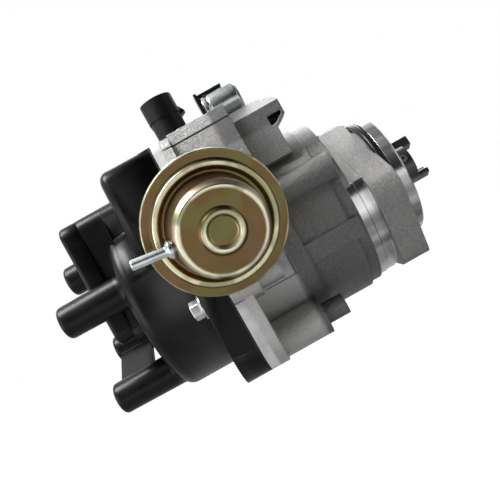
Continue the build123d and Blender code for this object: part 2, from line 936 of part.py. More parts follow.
with BuildPart() as bracket_screws:
    with BuildSketch(can_level(-base_deep)):
        with Locations(*bracket_ears):
            Circle(bracket_screw_r)
    extrude(amount=-bracket_screw_length)
    with BuildSketch(can_level(-base_deep)):
        with Locations(*bracket_ears):
            Circle(bracket_head_r)
    extrude(amount=bracket_head_high)
bracket_screws.part.label = "bracket_screws"
export_step(bracket_screws.part, "parts/bracket_screws.step")

# Mounting flange: plate with two slotted ears, hub, pilot with its ring groove, bearing and seal bores
pilot_x = groove_width - recess_deep
with BuildPart() as flange:
    with BuildSketch(Plane.YZ.offset(-flange_thick)):
        for y, z, radius in (flange_near, flange_low, flange_crown):
            with Locations((y, z)):
                Circle(radius)
        with Locations((ear_y, ear_z), (ear_y, -ear_z)):
            Circle(ear_r)
        make_hull()
        with Locations((ear_y, ear_z), (ear_y, -ear_z)):
            SlotOverall(ear_slot, 2 * ear_hole_r, rotation=90, mode=Mode.SUBTRACT)
    extrude(amount=flange_thick)
    with BuildSketch(Plane.YZ.offset(hub_x)):
        Circle(hub_r)
        crown_side()
    extrude(amount=hub_thick)
    with BuildSketch(Plane.XZ.offset(-crown_bevel_far)):
        with BuildLine():
            Polyline(
                (-crown_bevel, crown_top),
                (0, crown_top - crown_drop),
                (0, crown_top + crown_drop),
                (-crown_bevel, crown_top + crown_drop),
                close=True,
            )
        make_face()
    extrude(amount=crown_bevel_far + hub_r, mode=Mode.SUBTRACT)
    with BuildSketch(Plane.YZ):
        Circle(recess_r)
    extrude(amount=-recess_deep, mode=Mode.SUBTRACT)
    with BuildSketch(Plane.YZ.offset(-recess_deep)):
        Circle(groove_r)
    extrude(amount=groove_width)
    with BuildSketch(Plane.YZ.offset(pilot_x)):
        Circle(pilot_r)
    extrude(amount=pilot_length - pilot_x)
    chamfer(flange.faces().sort_by(Axis.X)[-1].edges(), length=pilot_chamfer)
    with BuildSketch(Plane.YZ.offset(hub_x)):
        Circle(bearing_r)
    extrude(amount=bearing_x - hub_x, mode=Mode.SUBTRACT)
    with BuildSketch(Plane.YZ.offset(bearing_x)):
        Circle(seal_r)
    extrude(amount=pilot_length - bearing_x, mode=Mode.SUBTRACT)
    with BuildSketch(Plane.YZ.offset(hub_x)):
        with Locations(*flange_screw_places):
            Circle(flange_screw_r + slip)
    extrude(amount=-hub_x, mode=Mode.SUBTRACT)
    with BuildSketch(Plane.YZ):
        with Locations(*flange_screw_places):
            Circle(flange_screw_head_r + slip)
    extrude(amount=-flange_screw_head_high - slip, mode=Mode.SUBTRACT)
flange.part.label = "mounting_flange"
export_step(flange.part, "parts/mounting_flange.step")

# Screws from the engine side that hold the flange on the housing
with BuildPart() as flange_screws:
    with BuildSketch(Plane.YZ.offset(-slip)):
        with Locations(*flange_screw_places):
            Circle(flange_screw_head_r)
    extrude(amount=-flange_screw_head_high)
    with BuildSketch(Plane.YZ.offset(-slip)):
        with Locations(*flange_screw_places):
            Circle(flange_screw_r)
    extrude(amount=-flange_screw_length)
    with BuildSketch(Plane.YZ.offset(-slip)):
        with Locations(*flange_screw_places):
            RegularPolygon(flange_screw_r, hex_sides)
    extrude(amount=-flange_screw_head_high / 2, mode=Mode.SUBTRACT)
flange_screws.part.label = "flange_screws"
export_step(flange_screws.part, "parts/flange_screws.step")

# Sealing ring in the pilot's groove
ring_wire = groove_width / 2 - running
with BuildPart() as o_ring:
    with BuildSketch(Plane.XZ):
        with Locations((pilot_x - groove_width / 2, groove_r + ring_wire + running)):
            Circle(ring_wire)
    revolve(axis=Axis.X)
o_ring.part.label = "o_ring"
export_step(o_ring.part, "parts/o_ring.step")

# Ball bearing, seal and bush
bearing_low = bearing_x - bearing_width
with BuildPart() as outer_race:
    with BuildSketch(Plane.YZ.offset(bearing_low)):
        Circle(bearing_r - seat_gap)
        Circle(bearing_r - race_thick, mode=Mode.SUBTRACT)
    extrude(amount=bearing_width)
outer_race.part.label = "bearing_outer_race"
export_step(outer_race.part, "parts/bearing_outer_race.step")

with BuildPart() as inner_race:
    with BuildSketch(Plane.YZ.offset(bearing_low)):
        Circle(shaft_r + race_thick)
        Circle(shaft_r + seat_gap, mode=Mode.SUBTRACT)
    extrude(amount=bearing_width)
inner_race.part.label = "bearing_inner_race"
export_step(inner_race.part, "parts/bearing_inner_race.step")

ball_path = (bearing_r + shaft_r) / 2
ball_r = (bearing_r - shaft_r) / 2 - race_thick - running
with BuildPart() as balls:
    with Locations(Location((bearing_x - bearing_width / 2, 0, 0), (0, 90, 0))):
        with PolarLocations(ball_path, ball_count):
            Sphere(ball_r)
balls.part.label = "bearing_balls"
export_step(balls.part, "parts/bearing_balls.step")

with BuildPart() as seal:
    with BuildSketch(Plane.YZ.offset(pilot_length - part_gap)):
        Circle(seal_r - seat_gap)
        Circle(shaft_r + running, mode=Mode.SUBTRACT)
    extrude(amount=-seal_width)
seal.part.label = "oil_seal"
export_step(seal.part, "parts/oil_seal.step")

chamber_x = lip_x + chamber_depth
with BuildPart() as bush:
    with BuildSketch(Plane.YZ.offset(chamber_x)):
        Circle(bush_r - seat_gap)
        Circle(shaft_r + running, mode=Mode.SUBTRACT)
    extrude(amount=bush_length)
bush.part.label = "rear_bush"
export_step(bush.part, "parts/rear_bush.step")

# Shaft: thick through the bearings, thin where the sleeve turns on it
coupling_x = pilot_length + coupling_gap
shaft_end_x = coupling_x + coupling_hub_length - shaft_short
governor_low = governor_x - governor_thick
weight_x = governor_low - weight_gap - weight_thick
cam_x = weight_x - cam_gap - cam_thick
upper_start_x = cam_x + cam_thick + running
pin_plane = Plane(
    origin=(roll_pin_x, 0, 0),
    x_dir=(1, 0, 0),
    z_dir=(0, -cos(radians(roll_pin_turn)), sin(radians(roll_pin_turn))),
)
with BuildPart() as shaft:
    with BuildSketch(Plane.YZ.offset(shaft_end_x)):
        Circle(shaft_r)
    extrude(amount=upper_start_x - shaft_end_x)
    chamfer(shaft.faces().sort_by(Axis.X)[-1].edges(), length=shaft_chamfer)
    with BuildSketch(Plane.YZ.offset(upper_start_x)):
        Circle(upper_shaft_r)
    extrude(amount=sleeve_end_x + shaft_short - upper_start_x)
    with BuildSketch(pin_plane):
        Circle(roll_pin_r + seat_gap)
    extrude(amount=roll_pin_length / 2, both=True, mode=Mode.SUBTRACT)
shaft.part.label = "shaft"
export_step(shaft.part, "parts/shaft.step")

# Drive coupling: base disc, hub and two tangs set off centre, so that it fits one way only
with BuildPart() as coupling:
    with BuildSketch(Plane.YZ.offset(coupling_x)):
        Circle(coupling_r)
    extrude(amount=coupling_base)
    with BuildSketch(Plane.YZ.offset(coupling_x)):
        Circle(coupling_hub_r)
    extrude(amount=coupling_hub_length)
    with BuildSketch(across(coupling_x, tang_turn)):
        with Locations(*[(tang_aside, tang_centre + side * tang_spread) for side in (-1, 1)]):
            RectangleRounded(tang_deep, tang_wide, tang_round)
        Circle(coupling_r, mode=Mode.INTERSECT)
    extrude(amount=tang_length)
    with BuildSketch(Plane.YZ.offset(coupling_x)):
        Circle(shaft_r + seat_gap)
    extrude(amount=tang_length, mode=Mode.SUBTRACT)
    with BuildSketch(pin_plane):
        Circle(roll_pin_r + seat_gap)
    extrude(amount=coupling_r, both=True, mode=Mode.SUBTRACT)
coupling.part.label = "drive_coupling"
export_step(coupling.part, "parts/drive_coupling.step")

with BuildPart() as roll_pin:
    with BuildSketch(pin_plane):
        Circle(roll_pin_r)
        Circle(roll_pin_r / 2, mode=Mode.SUBTRACT)
    extrude(amount=roll_pin_length / 2, both=True)
roll_pin.part.label = "roll_pin"
export_step(roll_pin.part, "parts/roll_pin.step")

# Governor plate with pivot pins and spring posts
with BuildPart() as governor:
    with BuildSketch(Plane.YZ.offset(governor_low)):
        Circle(governor_r)
        Circle(shaft_r + seat_gap, mode=Mode.SUBTRACT)
    extrude(amount=governor_thick)
    with BuildSketch(Plane.YZ.offset(governor_low)):
        with Locations((0, weight_pivot_r), (0, -weight_pivot_r)):
            Circle(pivot_pin_r)
    extrude(amount=-weight_thick)
    with BuildSketch(Plane.YZ.offset(governor_low)):
        for turn in (0, 180):
            with Locations(polar(governor_post_circle, governor_post_angle + turn)):
                Circle(spring_post_r)
    extrude(amount=-weight_thick + spring_post_short)
governor.part.label = "governor_plate"
export_step(governor.part, "parts/governor_plate.step")

# Two centrifugal weights, each with a pivot eye and an arm with the pin that turns the cam plate
for name, turn in (("weight_a", 0), ("weight_b", 180)):
    with BuildPart() as weight:
        with BuildSketch(across(weight_x, turn)):
            Circle(weight_out_r)
            Circle(weight_in_r, mode=Mode.SUBTRACT)
            with BuildLine():
                Polyline(
                    (0, 0),
                    polar(2 * weight_out_r, weight_start),
                    polar(2 * weight_out_r, (weight_start + weight_stop) / 2),
                    polar(2 * weight_out_r, weight_stop),
                    close=True,
                )
            make_face(mode=Mode.INTERSECT)
            with Locations((0, weight_pivot_r)):
                Circle(weight_eye_r)
            with Locations((0, (weight_pivot_r + drive_pin_place) / 2)):
                SlotCenterToCenter(weight_pivot_r - drive_pin_place, 2 * drive_arm_r, rotation=90)
            with Locations((0, weight_pivot_r)):
                Circle(pivot_pin_r + running, mode=Mode.SUBTRACT)
        extrude(amount=weight_thick)
        with BuildSketch(across(weight_x, turn)):
            with Locations((0, drive_pin_place)):
                Circle(drive_pin_r)
        extrude(amount=-(cam_gap + cam_thick))
    weight.part.label = name
    export_step(weight.part, f"parts/{name}.step")

# Advance sleeve with the cam plate that the weights turn
with BuildPart() as sleeve:
    with BuildSketch(Plane.YZ.offset(cam_x)):
        Circle(cam_r)
        for turn in (0, 180):
            with Locations(Location(polar(drive_pin_place + part_gap, 90 + turn), 90)):
                SlotCenterToCenter(drive_slot, 2 * (drive_pin_r + slip), mode=Mode.SUBTRACT)
    extrude(amount=cam_thick)
    with BuildSketch(Plane.YZ.offset(cam_x + cam_thick)):
        for turn in (0, 180):
            with Locations(polar(cam_post_circle, cam_post_angle + turn)):
                Circle(spring_post_r)
    extrude(amount=weight_thick - spring_post_short)
    with BuildSketch(Plane.YZ.offset(cam_x)):
        Circle(sleeve_r)
    extrude(amount=sleeve_end_x - cam_x)
    with BuildSketch(Plane.YZ.offset(sleeve_end_x)):
        Circle(upper_shaft_r + running)
    extrude(amount=cam_x + cam_thick - sleeve_end_x, mode=Mode.SUBTRACT)
sleeve.part.label = "advance_sleeve"
export_step(sleeve.part, "parts/advance_sleeve.step")

# Governor springs, from a post on the governor plate to a post on the cam plate
governor_spring_x = weight_x + weight_thick / 2
with BuildPart() as governor_springs:
    for turn in (0, 180):
        outer = Vector(governor_spring_x, *polar(governor_post_circle, governor_post_angle + turn))
        inner = Vector(governor_spring_x, *polar(cam_post_circle, cam_post_angle + turn))
        along = (inner - outer).normalized()
        reach = (inner - outer).length - 2 * (spring_post_r + spring_wire_r + part_gap)
        with BuildLine() as spring_line:
            Helix(
                reach / spring_turns,
                reach,
                spring_coil_r,
                center=outer + along * (spring_post_r + spring_wire_r + part_gap),
                direction=along,
            )
        with BuildSketch(Plane(origin=spring_line.line @ 0, z_dir=spring_line.line % 0)):
            RegularPolygon(spring_wire_r, square_sides)
        sweep(is_frenet=True)
governor_springs.part.label = "governor_springs"
export_step(governor_springs.part, "parts/governor_springs.step")

# Reluctor star on the sleeve
with BuildPart() as reluctor:
    with BuildSketch(Plane.YZ.offset(reluctor_x)):
        Circle(sleeve_r + reluctor_wall)
        with PolarLocations(reluctor_r / 2, reluctor_teeth):
            Rectangle(reluctor_r, tooth_wide)
        Circle(reluctor_r, mode=Mode.INTERSECT)
        Circle(sleeve_r + seat_gap, mode=Mode.SUBTRACT)
    extrude(amount=reluctor_length)
reluctor.part.label = "reluctor"
export_step(reluctor.part, "parts/reluctor.step")

# Fixed base plate with the collar that the pickup plate turns on
base_x = lip_x + ledge_depth - base_thick
with BuildPart() as base_plate:
    with BuildSketch(Plane.YZ.offset(base_x)):
        Circle(ledge_r - slip)
        with Locations(*plate_screw_places):
            Circle(plate_screw_r + slip, mode=Mode.SUBTRACT)
    extrude(amount=base_thick)
    with BuildSketch(Plane.YZ.offset(base_x)):
        Circle(collar_r)
    extrude(amount=-collar_rise)
    with BuildSketch(Plane.YZ.offset(base_x - collar_rise)):
        Circle(collar_r - collar_wall)
    extrude(amount=collar_rise + base_thick, mode=Mode.SUBTRACT)
base_plate.part.label = "base_plate"
export_step(base_plate.part, "parts/base_plate.step")

with BuildPart() as plate_screws:
    with BuildSketch(Plane.YZ.offset(base_x)):
        with Locations(*plate_screw_places):
            Circle(plate_screw_head_r)
    extrude(amount=-plate_screw_head_high)
    with BuildSketch(Plane.YZ.offset(base_x)):
        with Locations(*plate_screw_places):
            Circle(plate_screw_r)
    extrude(amount=plate_screw_reach)
plate_screws.part.label = "plate_screws"
export_step(plate_screws.part, "parts/plate_screws.step")

# Pickup plate with the lug and pin that the vacuum rod pulls
pickup_x = base_x - pickup_gap - pickup_thick
with BuildPart() as pickup_plate:
    with BuildSketch(Plane.YZ.offset(pickup_x)):
        Circle(collar_r + pickup_rim)
        with Locations((pin_centre.Y, pin_centre.Z)):
            Circle(pickup_lug_r)
        make_hull()
        Circle(pickup_r)
        Circle(collar_r + running, mode=Mode.SUBTRACT)
    extrude(amount=pickup_thick)
    with BuildSketch(Plane.YZ.offset(pickup_x)):
        with Locations((pin_centre.Y, pin_centre.Z)):
            Circle(plate_pin_r)
    extrude(amount=plate_pin_end - pickup_x)
pickup_plate.part.label = "pickup_plate"
export_step(pickup_plate.part, "parts/pickup_plate.step")

# Pickup coil: pole piece that faces the star, and its bobbin
with BuildPart() as pickup_coil:
    with BuildSketch(across(coil_end_x, coil_angle)):
        with Locations(((coil_inner + coil_outer) / 2, 0)):
            Rectangle(coil_outer - coil_inner, tooth_wide)
        with Locations(((coil_inner + bobbin_inset + coil_outer) / 2, 0)):
            RectangleRounded(coil_outer - coil_inner - bobbin_inset, coil_wide, bobbin_corner)
    extrude(amount=pickup_x - coil_end_x)
pickup_coil.part.label = "pickup_coil"
export_step(pickup_coil.part, "parts/pickup_coil.step")

# Rotor arm and its brass contact
with BuildPart() as rotor:
    with BuildSketch(Plane.YZ.offset(rotor_x)):
        Circle(rotor_hub_r)
    extrude(amount=rotor_end_x - rotor_x)
    with BuildSketch(across(rotor_end_x, rotor_turn)):
        with Locations((rotor_arm_r / 2, 0)):
            RectangleRounded(rotor_arm_r, 2 * rotor_arm_half, rotor_corner)
        with Locations((-rotor_hub_r, 0)):
            RectangleRounded(rotor_hub_r, rotor_arm_half, rotor_corner)
    extrude(amount=rotor_arm_thick)
    with BuildSketch(Plane.YZ.offset(rotor_x)):
        Circle(sleeve_r + seat_gap)
    extrude(amount=sleeve_end_x - rotor_x, mode=Mode.SUBTRACT)
rotor.part.label = "rotor_arm"
export_step(rotor.part, "parts/rotor_arm.step")

with BuildPart() as contact:
    with BuildSketch(across(rotor_end_x, rotor_turn)):
        with Locations(((contact_reach - contact_back) / 2, 0)):
            Rectangle(contact_reach + contact_back, 2 * contact_half)
    extrude(amount=-contact_thick)
    with BuildSketch(across(rotor_end_x, rotor_turn)):
        with Locations(((contact_reach + rotor_arm_r + slip) / 2, 0)):
            Rectangle(contact_reach - rotor_arm_r - slip, 2 * contact_half)
    extrude(amount=rotor_arm_thick)
contact.part.label = "rotor_contact"
export_step(contact.part, "parts/rotor_contact.step")

# Carbon brush and its spring in the cap's centre tube
brush_x = rotor_end_x - contact_thick - running
with BuildPart() as brush:
    with BuildSketch(Plane.YZ.offset(brush_x)):
        Circle(brush_r)
    extrude(amount=-brush_length)
    fillet(brush.faces().sort_by(Axis.X)[-1].edges(), radius=brush_round)
brush.part.label = "carbon_brush"
export_step(brush.part, "parts/carbon_brush.step")

brush_spring_length = brush_bore_end + brush_x - brush_length - 2 * part_gap
with BuildPart() as brush_spring:
    with BuildLine() as brush_line:
        Helix(
            brush_spring_length / brush_turns,
            brush_spring_length,
            brush_r - 2 * spring_wire_r,
            center=(brush_x - brush_length - part_gap, 0, 0),
            direction=(-1, 0, 0),
        )
    with BuildSketch(Plane(origin=brush_line.line @ 0, z_dir=brush_line.line % 0)):
        RegularPolygon(spring_wire_r, square_sides)
    sweep(is_frenet=True)
brush_spring.part.label = "brush_spring"
export_step(brush_spring.part, "parts/brush_spring.step")

# Ignition coil with its nose, laminated core bar and high-tension contact
coil_low_x = lip_x + coil_wall + part_gap
coil_high_x = coil_back_x - part_gap
window_mid = (window_low + window_high) / 2
with BuildPart() as ignition_coil:
    with BuildSketch(Plane.XY.offset(coil_floor)):
        with Locations(((coil_low_x + coil_high_x) / 2, 0)):
            RectangleRounded(coil_high_x - coil_low_x, 2 * coil_block_half, coil_block_corner)
    extrude(amount=coil_block_high)
    with BuildSketch(Plane.YZ.offset(coil_low_x + coil_nose_start)):
        with Locations((0, window_mid)):
            Circle(coil_nose_r)
    extrude(amount=-coil_nose_length)
    with BuildSketch(Plane.XZ):
        with Locations((core_x, coil_floor + coil_block_high / 2)):
            Rectangle(core_wide + 2 * seat_gap, core_high + 2 * seat_gap)
    extrude(amount=coil_half, both=True, mode=Mode.SUBTRACT)
    with BuildSketch(Plane.YZ.offset(coil_low_x)):
        with Locations((0, window_mid)):
            Circle(coil_pin_r + seat_gap)
    extrude(amount=-coil_nose_length, mode=Mode.SUBTRACT)
ignition_coil.part.label = "ignition_coil"
export_step(ignition_coil.part, "parts/ignition_coil.step")

with BuildPart() as coil_core:
    with BuildSketch(Plane.XZ):
        with Locations((core_x, coil_floor + coil_block_high / 2)):
            Rectangle(core_wide, core_high)
    extrude(amount=coil_half - part_gap, both=True)
coil_core.part.label = "coil_core"
export_step(coil_core.part, "parts/coil_core.step")

with BuildPart() as coil_terminal:
    with BuildSketch(Plane.YZ.offset(coil_low_x)):
        with Locations((0, window_mid)):
            Circle(coil_pin_r)
    extrude(amount=-coil_pin_length)
coil_terminal.part.label = "coil_terminal"
export_step(coil_terminal.part, "parts/coil_terminal.step")

# Igniter module under the base plate
with BuildPart() as igniter:
    with BuildSketch(Plane.YZ.offset(base_x + base_thick)):
        with Locations((igniter_y, 0)):
            Rectangle(igniter_thick, igniter_wide)
    extrude(amount=igniter_length)
igniter.part.label = "igniter_module"
export_step(igniter.part, "parts/igniter_module.step")

# Top cover and its countersunk screws
cover_top = body_top + cover_thick
neck_x = connector_x + connector_neck_shift
with BuildPart() as top_cover:
    with BuildSketch(Plane.YZ.offset(body_x)):
        with BuildLine():
            Polyline(
                (-body_top_half, body_top),
                (body_top_half, body_top),
                (body_top_half - cover_lean, cover_top),
                (-body_top_half + cover_lean, cover_top),
                close=True,
            )
        make_face()
    extrude(amount=body_length)
    with BuildSketch(Plane.XY.offset(body_top)):
        with Locations((neck_x, connector_y)):
            RectangleRounded(
                connector_neck_wide + 2 * running, connector_neck_long + 2 * running, connector_neck_corner
            )
    extrude(amount=cover_thick, mode=Mode.SUBTRACT)
    with Locations(*[(x, y, cover_top) for x, y in cover_screw_places]):
        CounterSinkHole(cover_screw_r + slip, cover_screw_head_r + slip, depth=cover_thick)
    with BuildSketch(Plane.XY.offset(body_top)):
        with Locations((strap_screw_x, can_y)):
            Circle(cover_screw_r + seat_gap)
    extrude(amount=cover_thick, mode=Mode.SUBTRACT)
top_cover.part.label = "top_cover"
export_step(top_cover.part, "parts/top_cover.step")

with BuildPart() as cover_screws:
    for x, y in cover_screw_places:
        with BuildSketch(Plane(origin=(x, y, 0), x_dir=(1, 0, 0), z_dir=(0, -1, 0))):
            with BuildLine():
                Polyline(
                    (0, cover_top - cover_screw_length),
                    (cover_screw_r, cover_top - cover_screw_length),
                    (cover_screw_r, cover_top - cover_screw_head_r + cover_screw_r),
                    (cover_screw_head_r, cover_top),
                    (0, cover_top),
                    close=True,
                )
            make_face()
        revolve(axis=Axis((x, y, 0), (0, 0, 1)))
cover_screws.part.label = "cover_screws"
export_step(cover_screws.part, "parts/cover_screws.step")

# Harness connector: round-ended shroud with a latch tab, a foot and a neck through the cover
with BuildPart() as connector:
    with BuildSketch(Plane.XY.offset(cover_top)):
        with Locations((connector_x, connector_y)):
            SlotOverall(
                connector_long + connector_foot_spread, connector_wide + connector_foot_spread, rotation=90
            )
    extrude(amount=connector_foot)
    with BuildSketch(Plane.XY.offset(cover_top)):
        with Locations((connector_x, connector_y)):
            SlotOverall(connector_long, connector_wide, rotation=90)
    extrude(amount=connector_high)
    with BuildSketch(Plane.XY.offset(cover_top + connector_step)):
        with Locations((connector_x, connector_y)):
            SlotOverall(
                connector_long + connector_band_spread, connector_wide + connector_band_spread, rotation=90
            )
    extrude(amount=connector_high - connector_step)
    with BuildSketch(Plane.XY.offset(cover_top + connector_floor)):
        with Locations((connector_x, connector_y)):
            SlotOverall(
                connector_long - 2 * connector_wall, connector_wide - 2 * connector_wall, rotation=90
            )
    extrude(amount=connector_high, mode=Mode.SUBTRACT)
    with BuildSketch(Plane.XZ.offset(-connector_y - tab_half)):
        with BuildLine():
            Polyline(
                (connector_x + connector_wide / 2, cover_top + tab_low),
                (connector_x + connector_wide / 2 + tab_reach, cover_top + tab_low + tab_reach / 2),
                (connector_x + connector_wide / 2, cover_top + tab_high),
                close=True,
            )
        make_face()
    extrude(amount=2 * tab_half)
    with BuildSketch(Plane.XY.offset(cover_top)):
        with Locations((neck_x, connector_y)):
            RectangleRounded(connector_neck_wide, connector_neck_long, connector_neck_corner)
    extrude(amount=-cover_thick)
    with BuildSketch(Plane.XY.offset(body_top)):
        with Locations(*connector_pin_places):
            Rectangle(pin_wide + 2 * seat_gap, pin_thick + 2 * seat_gap)
    extrude(amount=cover_thick + connector_floor, mode=Mode.SUBTRACT)
connector.part.label = "connector_body"
export_step(connector.part, "parts/connector_body.step")

with BuildPart() as connector_pins:
    with BuildSketch(Plane.XY.offset(body_top)):
        with Locations(*connector_pin_places):
            Rectangle(pin_wide, pin_thick)
    extrude(amount=cover_thick + connector_floor + pin_reach)
connector_pins.part.label = "connector_pins"
export_step(connector_pins.part, "parts/connector_pins.step")

# Suppressor condenser, its strap and screw
can_z = cover_top + part_gap + can_r
with BuildPart() as condenser:
    with BuildSketch(Plane.YZ.offset(can_x)):
        with Locations((can_y, can_z)):
            Circle(can_r)
    extrude(amount=can_length)
    fillet(condenser.faces().sort_by(Axis.X)[-1].edges(), radius=can_round)
condenser.part.label = "condenser"
export_step(condenser.part, "parts/condenser.step")

strap_x = can_x - strap_thick - seat_gap
with BuildPart() as strap:
    with BuildSketch(Plane.XY.offset(cover_top)):
        with Locations(((strap_x + strap_thick + strap_foot_x) / 2, can_y)):
            Rectangle(strap_x + strap_thick - strap_foot_x, strap_wide)
        with Locations((strap_screw_x, can_y)):
            Circle(cover_screw_r + slip, mode=Mode.SUBTRACT)
    extrude(amount=strap_thick)
    with BuildSketch(Plane.YZ.offset(strap_x)):
        with Locations((can_y, cover_top)):
            Rectangle(strap_wide, can_z + can_r + strap_thick - cover_top, align=(Align.CENTER, Align.MIN))
    extrude(amount=strap_thick)
    with BuildSketch(Plane.XY.offset(can_z + can_r + seat_gap)):
        with Locations(((strap_x + strap_tab_x) / 2, can_y)):
            Rectangle(strap_tab_x - strap_x, strap_wide / 2)
    extrude(amount=strap_tab_thick)
strap.part.label = "condenser_strap"
export_step(strap.part, "parts/condenser_strap.step")

with BuildPart() as strap_screw:
    with BuildSketch(Plane.XY.offset(cover_top + strap_thick)):
        with Locations((strap_screw_x, can_y)):
            Circle(cover_screw_head_r)
    extrude(amount=strap_head_high)
    with BuildSketch(Plane.XY.offset(cover_top + strap_thick)):
        with Locations((strap_screw_x, can_y)):
            Circle(cover_screw_r)
    extrude(amount=-strap_thick - cover_thick)
strap_screw.part.label = "condenser_screw"
export_step(strap_screw.part, "parts/condenser_screw.step")
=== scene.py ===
import json
import math

import bmesh
import bpy
from mathutils import Matrix, Vector


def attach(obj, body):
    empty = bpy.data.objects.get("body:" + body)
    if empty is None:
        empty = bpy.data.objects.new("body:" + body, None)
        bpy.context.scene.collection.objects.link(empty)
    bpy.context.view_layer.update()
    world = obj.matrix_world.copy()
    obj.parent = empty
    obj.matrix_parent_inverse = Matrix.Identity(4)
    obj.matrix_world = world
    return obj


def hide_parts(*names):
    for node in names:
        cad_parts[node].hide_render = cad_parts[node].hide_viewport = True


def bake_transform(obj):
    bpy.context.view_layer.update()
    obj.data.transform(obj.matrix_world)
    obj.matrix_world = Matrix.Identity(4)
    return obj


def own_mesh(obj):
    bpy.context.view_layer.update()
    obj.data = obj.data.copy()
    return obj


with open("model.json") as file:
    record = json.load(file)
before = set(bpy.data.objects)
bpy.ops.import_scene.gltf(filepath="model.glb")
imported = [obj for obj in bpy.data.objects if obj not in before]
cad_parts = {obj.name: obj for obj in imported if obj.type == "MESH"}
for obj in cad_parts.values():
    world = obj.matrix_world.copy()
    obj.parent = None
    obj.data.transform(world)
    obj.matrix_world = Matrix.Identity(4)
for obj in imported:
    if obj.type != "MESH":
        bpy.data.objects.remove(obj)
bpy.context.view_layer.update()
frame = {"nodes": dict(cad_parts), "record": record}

nodes = frame["nodes"]
MM = 0.001
FULL_TURN = 2 * math.pi

# The vacuum canister's own frame: its rim's centre, the way its dome faces, and the way to the hose
CAN_CENTRE = Vector((-71.0, -62.02, 15.055)) * MM
ROD_TILT = math.radians(16.76)
ROD_ASIDE = math.radians(5.5)
CAN_DIR = Vector(
    (
        math.sin(ROD_ASIDE),
        -math.cos(ROD_ASIDE) * math.cos(ROD_TILT),
        -math.cos(ROD_ASIDE) * math.sin(ROD_TILT),
    )
)
HOSE_HINT = Vector((-1, 0, 0.15))
HOSE_DIR = (HOSE_HINT - CAN_DIR * HOSE_HINT.dot(CAN_DIR)).normalized()


class Wire:
    """A shader value: Python sums on it add the Math nodes that work them out."""

    def __init__(self, finish, socket):
        self.finish = finish
        self.socket = socket

    def math(self, operation, first, second=0.0):
        return self.finish.node("ShaderNodeMath", {"operation": operation}, {0: first, 1: second})

    def __add__(self, other):
        return self.math("ADD", self, other)

    def __radd__(self, other):
        return self.math("ADD", other, self)

    def __sub__(self, other):
        return self.math("SUBTRACT", self, other)

    def __rsub__(self, other):
        return self.math("SUBTRACT", other, self)

    def __mul__(self, other):
        return self.math("MULTIPLY", self, other)

    def __rmul__(self, other):
        return self.math("MULTIPLY", other, self)

    def __truediv__(self, other):
        return self.math("DIVIDE", self, other)

    def sine(self):
        return self.math("SINE", self)

    def size(self):
        return self.math("ABSOLUTE", self)


class Shader:
    """A node tree with short words for its nodes."""

    def __init__(self, tree):
        self.tree = tree
        self.tree.nodes.clear()

    def node(self, kind, settings=None, inputs=None, output=0):
        made = self.tree.nodes.new(kind)
        for name, value in (settings or {}).items():
            if name == "stops":
                set_stops(made.color_ramp, value)
            else:
                setattr(made, name, value)
        for key, value in (inputs or {}).items():
            self.feed(made.inputs[key], value)
        return Wire(self, made.outputs[output])

    def feed(self, socket, value):
        if isinstance(value, Wire):
            self.tree.links.new(value.socket, socket)
        else:
            socket.default_value = value

    def band(self, value, low, high, start=0.0, end=1.0):
        """A smooth step of value from low to high."""
        settings = {"interpolation_type": "SMOOTHSTEP"}
        inputs = {"Value": value, "From Min": low, "From Max": high, "To Min": start, "To Max": end}
        return self.node("ShaderNodeMapRange", settings, inputs)

    def past(self, value, limit, soft):
        """Nought below the limit and one above it, turning over soft to either side."""
        return self.band(value, limit - soft, limit + soft)

    def short_of(self, value, limit, soft):
        """One below the limit and nought above it, turning over soft to either side."""
        return self.band(value, limit - soft, limit + soft, 1.0, 0.0)

    def within(self, value, middle, half):
        """One where value is no more than half away from middle, and nought past it."""
        return self.band((value - middle).size(), half * 0.85, half * 1.15, 1.0, 0.0)

    def blend(self, factor, first, second, mode="MIX"):
        settings = {"data_type": "RGBA", "blend_type": mode, "clamp_factor": True}
        return self.node("ShaderNodeMix", settings, {0: factor, 6: first, 7: second}, 2)

    def vector(self, operation, first, second=(0, 0, 0), output=0):
        return self.node("ShaderNodeVectorMath", {"operation": operation}, {0: first, 1: second}, output)


